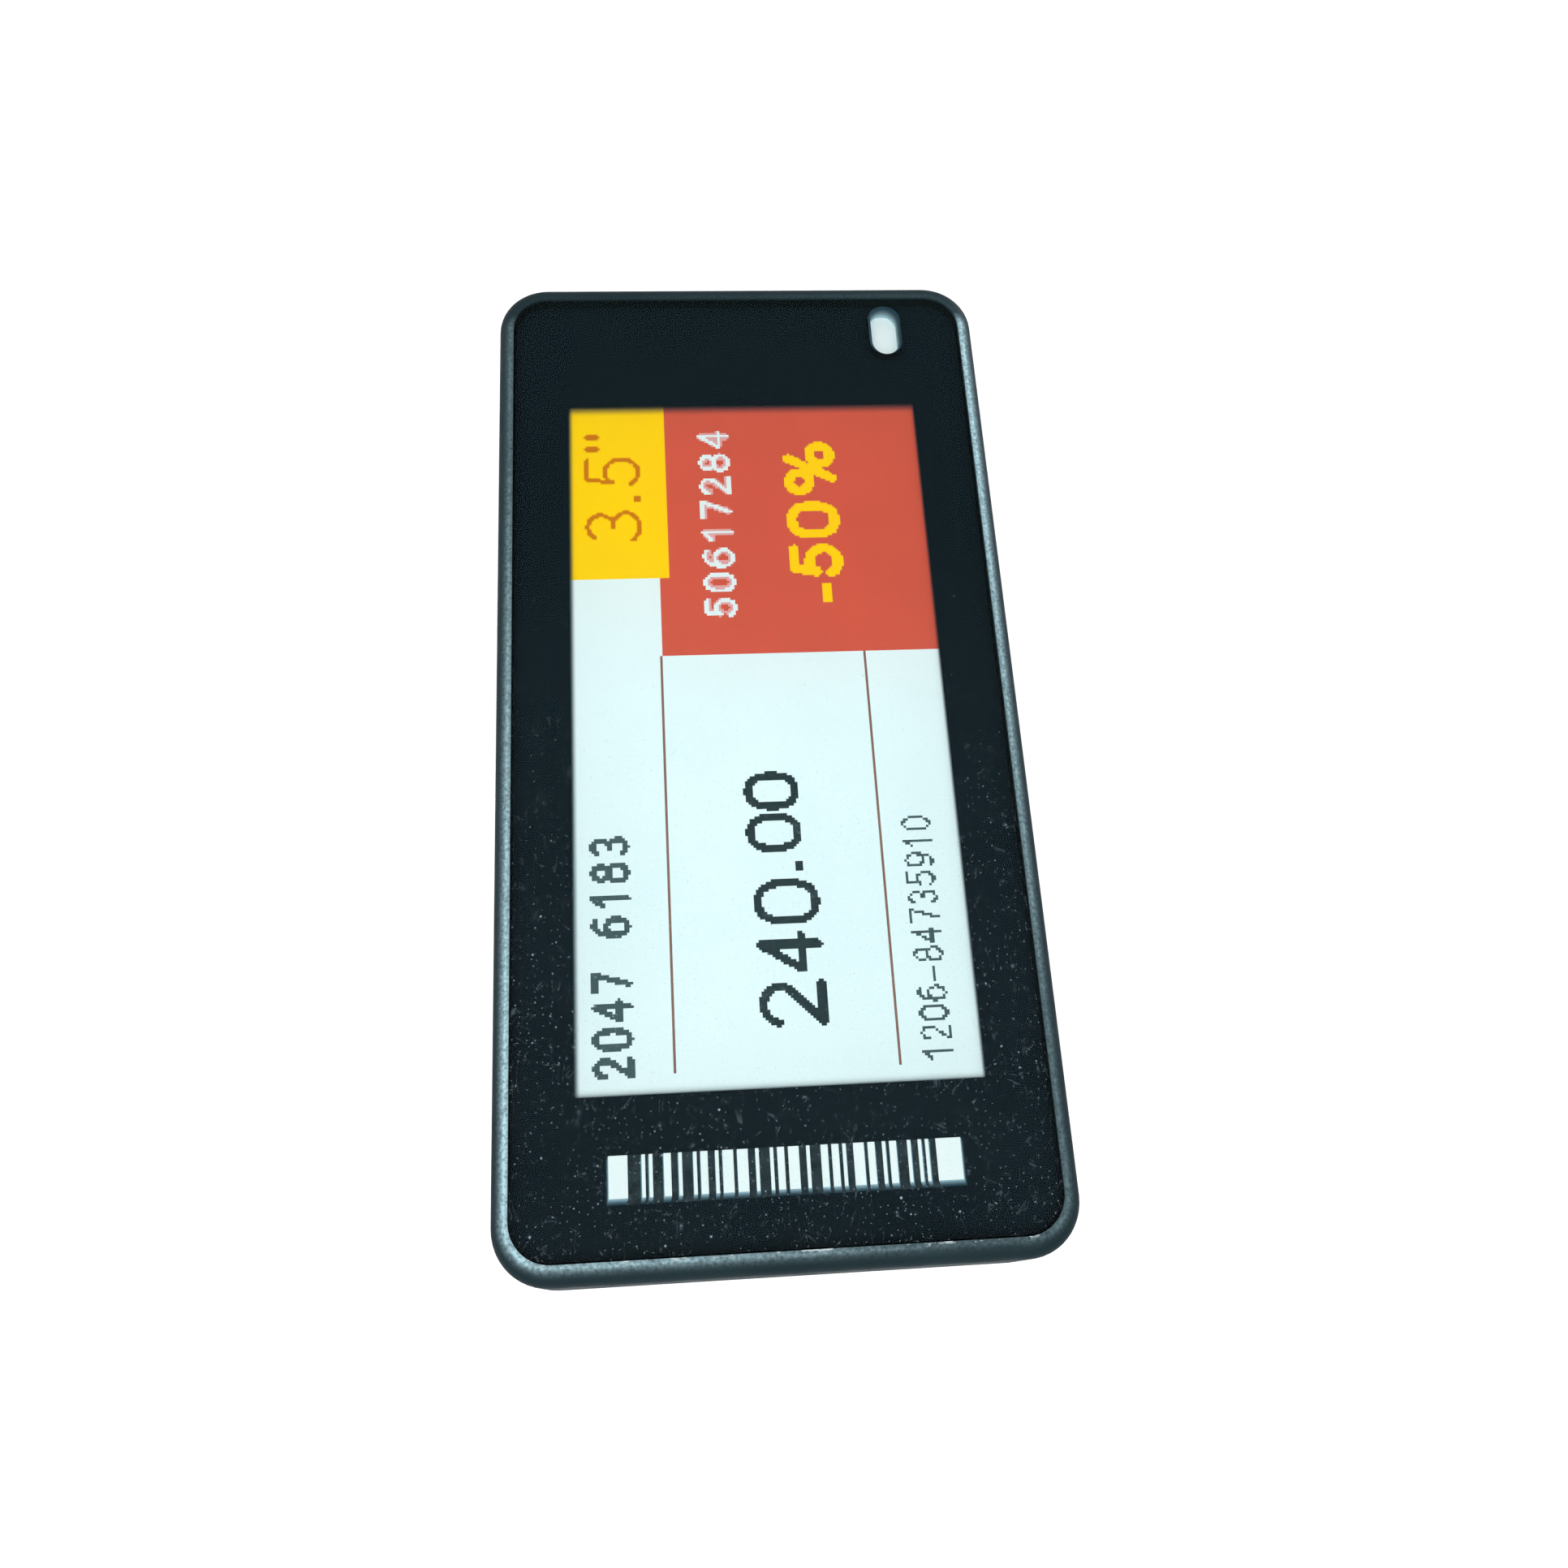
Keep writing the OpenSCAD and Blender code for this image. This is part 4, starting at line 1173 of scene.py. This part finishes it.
        # Each ring is the hole's outline shrunk by an inset, and in width by a share, at a height
        rings = []
        for inset, pinch, z in (
            (outer, 0.0, low),
            (outer, 0.0, high),
            (inner, self.sleeve_pinch, high - self.sleeve_bevel),
            (inner, self.sleeve_pinch, low),
        ):
            shrunk = [(dx, dy, 1 - inset / math.hypot(dx, dy)) for dx, dy in offsets]
            outline = [(x + dx * k * (1 - pinch), y + dy * k) for dx, dy, k in shrunk]
            rings.append(raised(outline, z * MM))
        bm = bmesh.new()
        fade = bm.verts.layers.float.new("fade")
        loft(bm, rings, closed=True)
        for vert in bm.verts:
            # Painted shade: the fade grows towards the mask, where the wall is darkest
            vert[fade] = min(1.0, (vert.co.z - low * MM) / ((high - low) * MM))
        return object_from("light_hole_sleeve", bm, GUIDE_WALL)

    def build(self) -> None:
        """Dress the CAD nodes, then add the print and the sleeve."""
        dress_nodes(
            front_window=ACRYLIC,
            window_tape=TAPE,
            code_plate=CODE_SHEET,
            light_guide=FROSTED_PC,
        )
        mask = self.mask()
        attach(mask, Body.HOUSING)
        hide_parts("window_mask")
        bars = self.strip_print()
        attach(bars, Body.HOUSING)
        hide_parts("code_bars")
        sleeve = self.sleeve()
        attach(sleeve, Body.HOUSING)
        LOG.info("built %s, %s and %s", mask.name, bars.name, sleeve.name)


@dataclass
class Display:
    """The e-paper module: picture film, clear film, glass, driver, flex and foam. Millimetres."""

    pixel: float = 60.1 / 296
    active_low: Point2 = (-15.35, -29.55)
    film_corner: float = 0.5
    adhesive: float = 0.02
    ring: float = 0.75
    pad_rim: float = 3.0
    pad_corner: float = 1.2
    pad_least_corner: float = 0.3
    pad_steps: int = 14
    pad_squareness: Point2 = (0.3, 0.5)

    def places(self, start: float, count: int) -> list[float]:
        """List the pixel borders along an axis, with a margin past both ends.

        Args:
            start: The first pixel's border, in millimetres.
            count: How many pixels there are.

        Returns:
            The places in millimetres.
        """
        borders = [start + n * self.pixel for n in range(count + 1)]
        return [start - self.ring, *borders, borders[-1] + self.ring]

    def picture(self) -> Object:
        """Build the ink film as one closed slab whose top faces are the picture's pixels.

        Returns:
            The piece that stands for the CAD ink film.
        """
        screen = ScreenPicture()
        screen.draw()
        tones = np.pad(screen.pixels, 1, mode="edge")
        blocks = same_tone_blocks(tones)
        low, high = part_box("ink_film")
        top = high.z - self.adhesive * MM
        across = self.places(self.active_low[0], screen.rows)
        upward = self.places(self.active_low[1], screen.columns)
        bm = bmesh.new()
        corners = sorted({(u, v) for a, b, c, d in blocks for u in (a, b) for v in (c, d)})
        by_column: dict[int, list[int]] = {}
        by_row: dict[int, list[int]] = {}
        for u, v in corners:
            by_column.setdefault(u, []).append(v)
            by_row.setdefault(v, []).append(u)
        verts = {(u, v): bm.verts.new((across[v] * MM, upward[u] * MM, top)) for u, v in corners}
        for start, end, first, last in blocks:
            foot = [(start, v) for v in by_column[start] if first <= v < last]
            right = [(u, last) for u in by_row[last] if start <= u < end]
            head = [(end, v) for v in by_column[end] if first < v <= last][::-1]
            left = [(u, first) for u in by_row[first] if start < u <= end][::-1]
            face = bm.faces.new([verts[p] for p in foot + right + head + left])
            face.material_index = int(tones[start, first])
        inner = [e for e in bm.edges if e.is_boundary]
        outline = rounded_outline(*plan("ink_film"), self.film_corner)
        rim, under = [[bm.verts.new(p) for p in raised(outline, z)] for z in (top, low.z)]
        rim_next, under_next = rim[1:] + rim[:1], under[1:] + under[:1]
        outer = [bm.edges.new(pair) for pair in zip(rim, rim_next)]
        bmesh.ops.triangle_fill(bm, use_beauty=True, edges=inner + outer)
        for wall in zip(rim, rim_next, under_next, under):
            bm.faces.new(wall)
        bm.faces.new(under)
        return object_from("screen_picture", bm, *[ink.value for ink in Ink])

    def pad(self) -> Object:
        """Build the foam frame under the glass with crowned, rounded flanks.

        Returns:
            The piece that stands for the CAD pad.
        """
        low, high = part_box("display_pad")
        middle, half = (low.z + high.z) / 2, (high.z - low.z) / 2
        wide, tall = self.pad_squareness
        rings = []
        for n in range(self.pad_steps):
            angle = 2 * math.pi * n / self.pad_steps
            c, s = math.cos(angle), math.sin(angle)
            inset = self.pad_rim / 2 * (1 - math.copysign(abs(c) ** wide, c))
            corner = max(self.pad_least_corner, self.pad_corner - inset / 3)
            outline = rounded_outline(*plan("display_pad"), corner, inset)
            rings.append(raised(outline, middle + half * math.copysign(abs(s) ** tall, s)))
        bm = bmesh.new()
        loft(bm, rings, closed=True)
        return object_from("display_foam", bm, FOAM)

    def build(self) -> None:
        """Dress the CAD nodes, then add the picture and the foam."""
        dress_nodes(
            protective_film=FILM,
            backplane_glass=BACKPLANE,
            driver_chip=SILICON,
            display_flex=POLYIMIDE,
        )
        picture = self.picture()
        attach(picture, Body.HOUSING)
        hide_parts("ink_film")
        foam = self.pad()
        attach(foam, Body.HOUSING)
        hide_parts("display_pad")
        LOG.info("built %s and %s", picture.name, foam.name)


@dataclass
class Board:
    """The circuit board and what is soldered to it."""

    def build(self) -> None:
        """Dress the board and its parts."""
        dress_nodes(
            main_board=LAMINATE,
            radio_chip=CHIP_RESIN,
            memory_chip=CHIP_RESIN,
            boost_transistor=CHIP_RESIN,
            rectifier_diodes=CHIP_RESIN,
            crystals=CRYSTAL_CAN,
            boost_inductor=FERRITE,
            bulk_capacitor=TANTALUM,
            ceramic_capacitors=CERAMIC,
            chip_resistors=RESISTOR,
            indicator_led=LED_RESIN,
            radio_antenna=AERIAL,
            flex_connector=CONNECTOR_RESIN,
            connector_contacts=CONTACT,
            connector_latch=LATCH_RESIN,
        )


@dataclass
class BatteryBay:
    """The coin cells, their springs, and the door with its foam pads. Sizes in millimetres.

    Each step of the pads' profile is a share of their height and an inset.
    """

    pad_half: Point2 = (6.0, 4.0)
    pad_corner: float = 1.0
    pad_profile: tuple[Point2, ...] = (
        (0.0, 0.08), (0.3, 0.0), (0.65, 0.0), (0.88, 0.12), (0.97, 0.4), (1.0, 1.2),
    )

    def door_foam(self) -> Object:
        """Build the two crowned foam pads on the door.

        Returns:
            The piece that stands for the CAD pads.
        """
        low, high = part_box("door_pad")
        half, tall = self.pad_half[0], 2 * self.pad_half[1]
        bm = bmesh.new()
        for foot in (low.y * PER_METRE, high.y * PER_METRE - tall):
            ends = ((-half, foot), (half, foot + tall))
            rings = []
            for share, inset in self.pad_profile:
                outline = rounded_outline(*ends, self.pad_corner, inset)
                rings.append(raised(outline, low.z + share * (high.z - low.z)))
            loft(bm, rings)
        return object_from("door_foam", bm, FOAM)

    def build(self) -> None:
        """Dress the CAD nodes, then add the foam."""
        dress_nodes(
            battery_door=DOOR_ABS,
            cell_cans=CELL_STEEL,
            cell_caps=CELL_STEEL,
            cell_gaskets=GASKET,
            positive_contacts=SPRING,
            negative_contacts=SPRING,
        )
        foam = self.door_foam()
        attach(foam, Body.DOOR)
        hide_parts("door_pad")
        LOG.info("built %s", foam.name)


@dataclass
class Studio:
    """The floor, the soft light and the camera. Lengths in metres, colours as sRGB hex."""

    eye: Point3 = (-0.007762, -0.045014, 0.116996)
    right: Point3 = (0.99610138, -0.05975682, 0.0648935)
    down: Point3 = (-0.03346709, -0.9366134, -0.34876251)
    forward: Point3 = (0.08162106, 0.34523102, -0.93496179)
    lens_mm: float = 32.586
    sensor_mm: float = 36.0
    clip: Point2 = (0.005, 20.0)
    ambient: float = 0.66
    gloss_colour: str = "#d8f4ff"
    floor_colour: str = "#f2f2f2"
    floor_roughness: float = 0.9
    floor_lift: float = 0.42
    floor_half: float = 2.0
    floor_open: Point2 = (0.01945, 0.03995)
    floor_open_corner: float = 0.003
    clear_faces: int = 24

    def seen(self, paint: Paint, *kinds: str) -> Socket:
        """Give one for rays of some kinds, such as Camera, and zero for the others."""
        rays = paint.add("LightPath").outputs
        return paint.fold("MAXIMUM", *[rays[f"Is {kind} Ray"] for kind in kinds])

    def floor(self) -> None:
        """Lay a pale floor that keeps a soft shadow and looks white to the camera.

        It is open under the plinth, so that daylight reaches the back in a view from below.
        """
        r, (x, y) = self.floor_half, self.floor_open
        square = [(-r, -r), (r, -r), (r, r), (-r, r)]
        bm = bmesh.new()
        edges = []
        for outline in (square, rounded_outline((-x, -y), (x, y), self.floor_open_corner)):
            verts = [bm.verts.new((a, b, 0)) for a, b in outline]
            edges += [bm.edges.new(pair) for pair in zip(verts, verts[1:] + verts[:1])]
        bmesh.ops.triangle_fill(bm, use_beauty=True, edges=edges)
        plane = object_from("floor", bm)
        material = bpy.data.materials.new("pale_floor")
        material.use_nodes = True
        paint = Paint(material.node_tree)
        inputs = {
            "Base Color": linear(self.floor_colour),
            "Roughness": self.floor_roughness,
            "Specular IOR Level": 0.0,
            "Emission Color": WHITE_LIGHT,
            "Emission Strength": paint.product(
                self.seen(paint, "Camera", "Glossy"), self.floor_lift
            ),
        }
        paint.plug(paint.tree.nodes["Principled BSDF"], inputs)
        plane.data.materials.append(material)

    def world(self) -> None:
        """Make the surroundings white to look at and plain and soft as a light."""
        world = bpy.data.worlds.new("studio")
        bpy.context.scene.world = world
        world.use_nodes = True
        paint = Paint(world.node_tree)
        seen = self.seen(paint, "Camera", "Glossy", "Transmission")
        level = paint.add("MapRange", {"Value": seen, "To Min": self.ambient}).outputs[0]
        paint.plug(paint.tree.nodes["Background"], {"Color": WHITE_LIGHT, "Strength": level})

    def lamp(
        self, name: str, place: Point3, size: Point2, watts: float, colour: str = "#ffffff"
    ) -> Object:
        """Hang an area lamp that points at the label.

        Args:
            name: Its name.
            place: Where it hangs.
            size: Its width and height.
            watts: Its power.
            colour: Its sRGB hex colour.

        Returns:
            The lamp.
        """
        data = bpy.data.lights.new(name, "AREA")
        data.shape = "RECTANGLE"
        data.size, data.size_y = size
        data.energy = watts
        data.color = linear(colour)[:3]
        lamp = new_object(name, data)
        lamp.location = place
        lamp.rotation_euler = (-Vector(place)).to_track_quat("-Z", "Y").to_euler()
        return lamp

    def lamps(self) -> None:
        """Hang a soft lamp overhead, and three that only show as soft lines of gloss."""
        self.lamp("overhead_softbox", (-0.1, -0.45, 0.85), (0.7, 0.7), 5.6)
        strips = (
            ("front_strip", (0.0, -0.5, 0.55), (0.5, 0.3), 2.0),
            ("left_strip", (-0.5, 0.06, 0.36), (0.3, 0.2), 4.0),
            ("right_strip", (0.5, 0.42, 0.2), (0.35, 0.25), 6.0),
        )
        for strip in strips:
            self.lamp(*strip, self.gloss_colour).visible_diffuse = False

    def camera(self) -> None:
        """Place the camera as solved from the photograph, with the exact view directions."""
        data = bpy.data.cameras.new("camera")
        data.sensor_fit = "HORIZONTAL"
        data.sensor_width = self.sensor_mm
        data.lens = self.lens_mm
        data.clip_start, data.clip_end = self.clip
        eye = new_object("camera", data)
        axes = (Vector(self.right), -Vector(self.down), -Vector(self.forward))
        eye.matrix_world = Matrix.Translation(self.eye) @ Matrix(axes).transposed().to_4x4()
        bpy.context.scene.camera = eye

    def build(self) -> None:
        """Set up everything that isn't part of the label."""
        self.floor()
        self.world()
        self.lamps()
        self.camera()
        scene = bpy.context.scene
        scene.view_settings.view_transform = "Standard"
        # Sight and light each cross the faces of the window, the mask's slot and the film
        scene.cycles.transparent_max_bounces = self.clear_faces
        LOG.info("set up the studio")


def main() -> None:
    """Build the pieces in order, then the studio."""
    for part in (Housing(), FrontWindow(), Display(), Board(), BatteryBay(), Studio()):
        part.build()


if __name__ == "__main__":
    main()
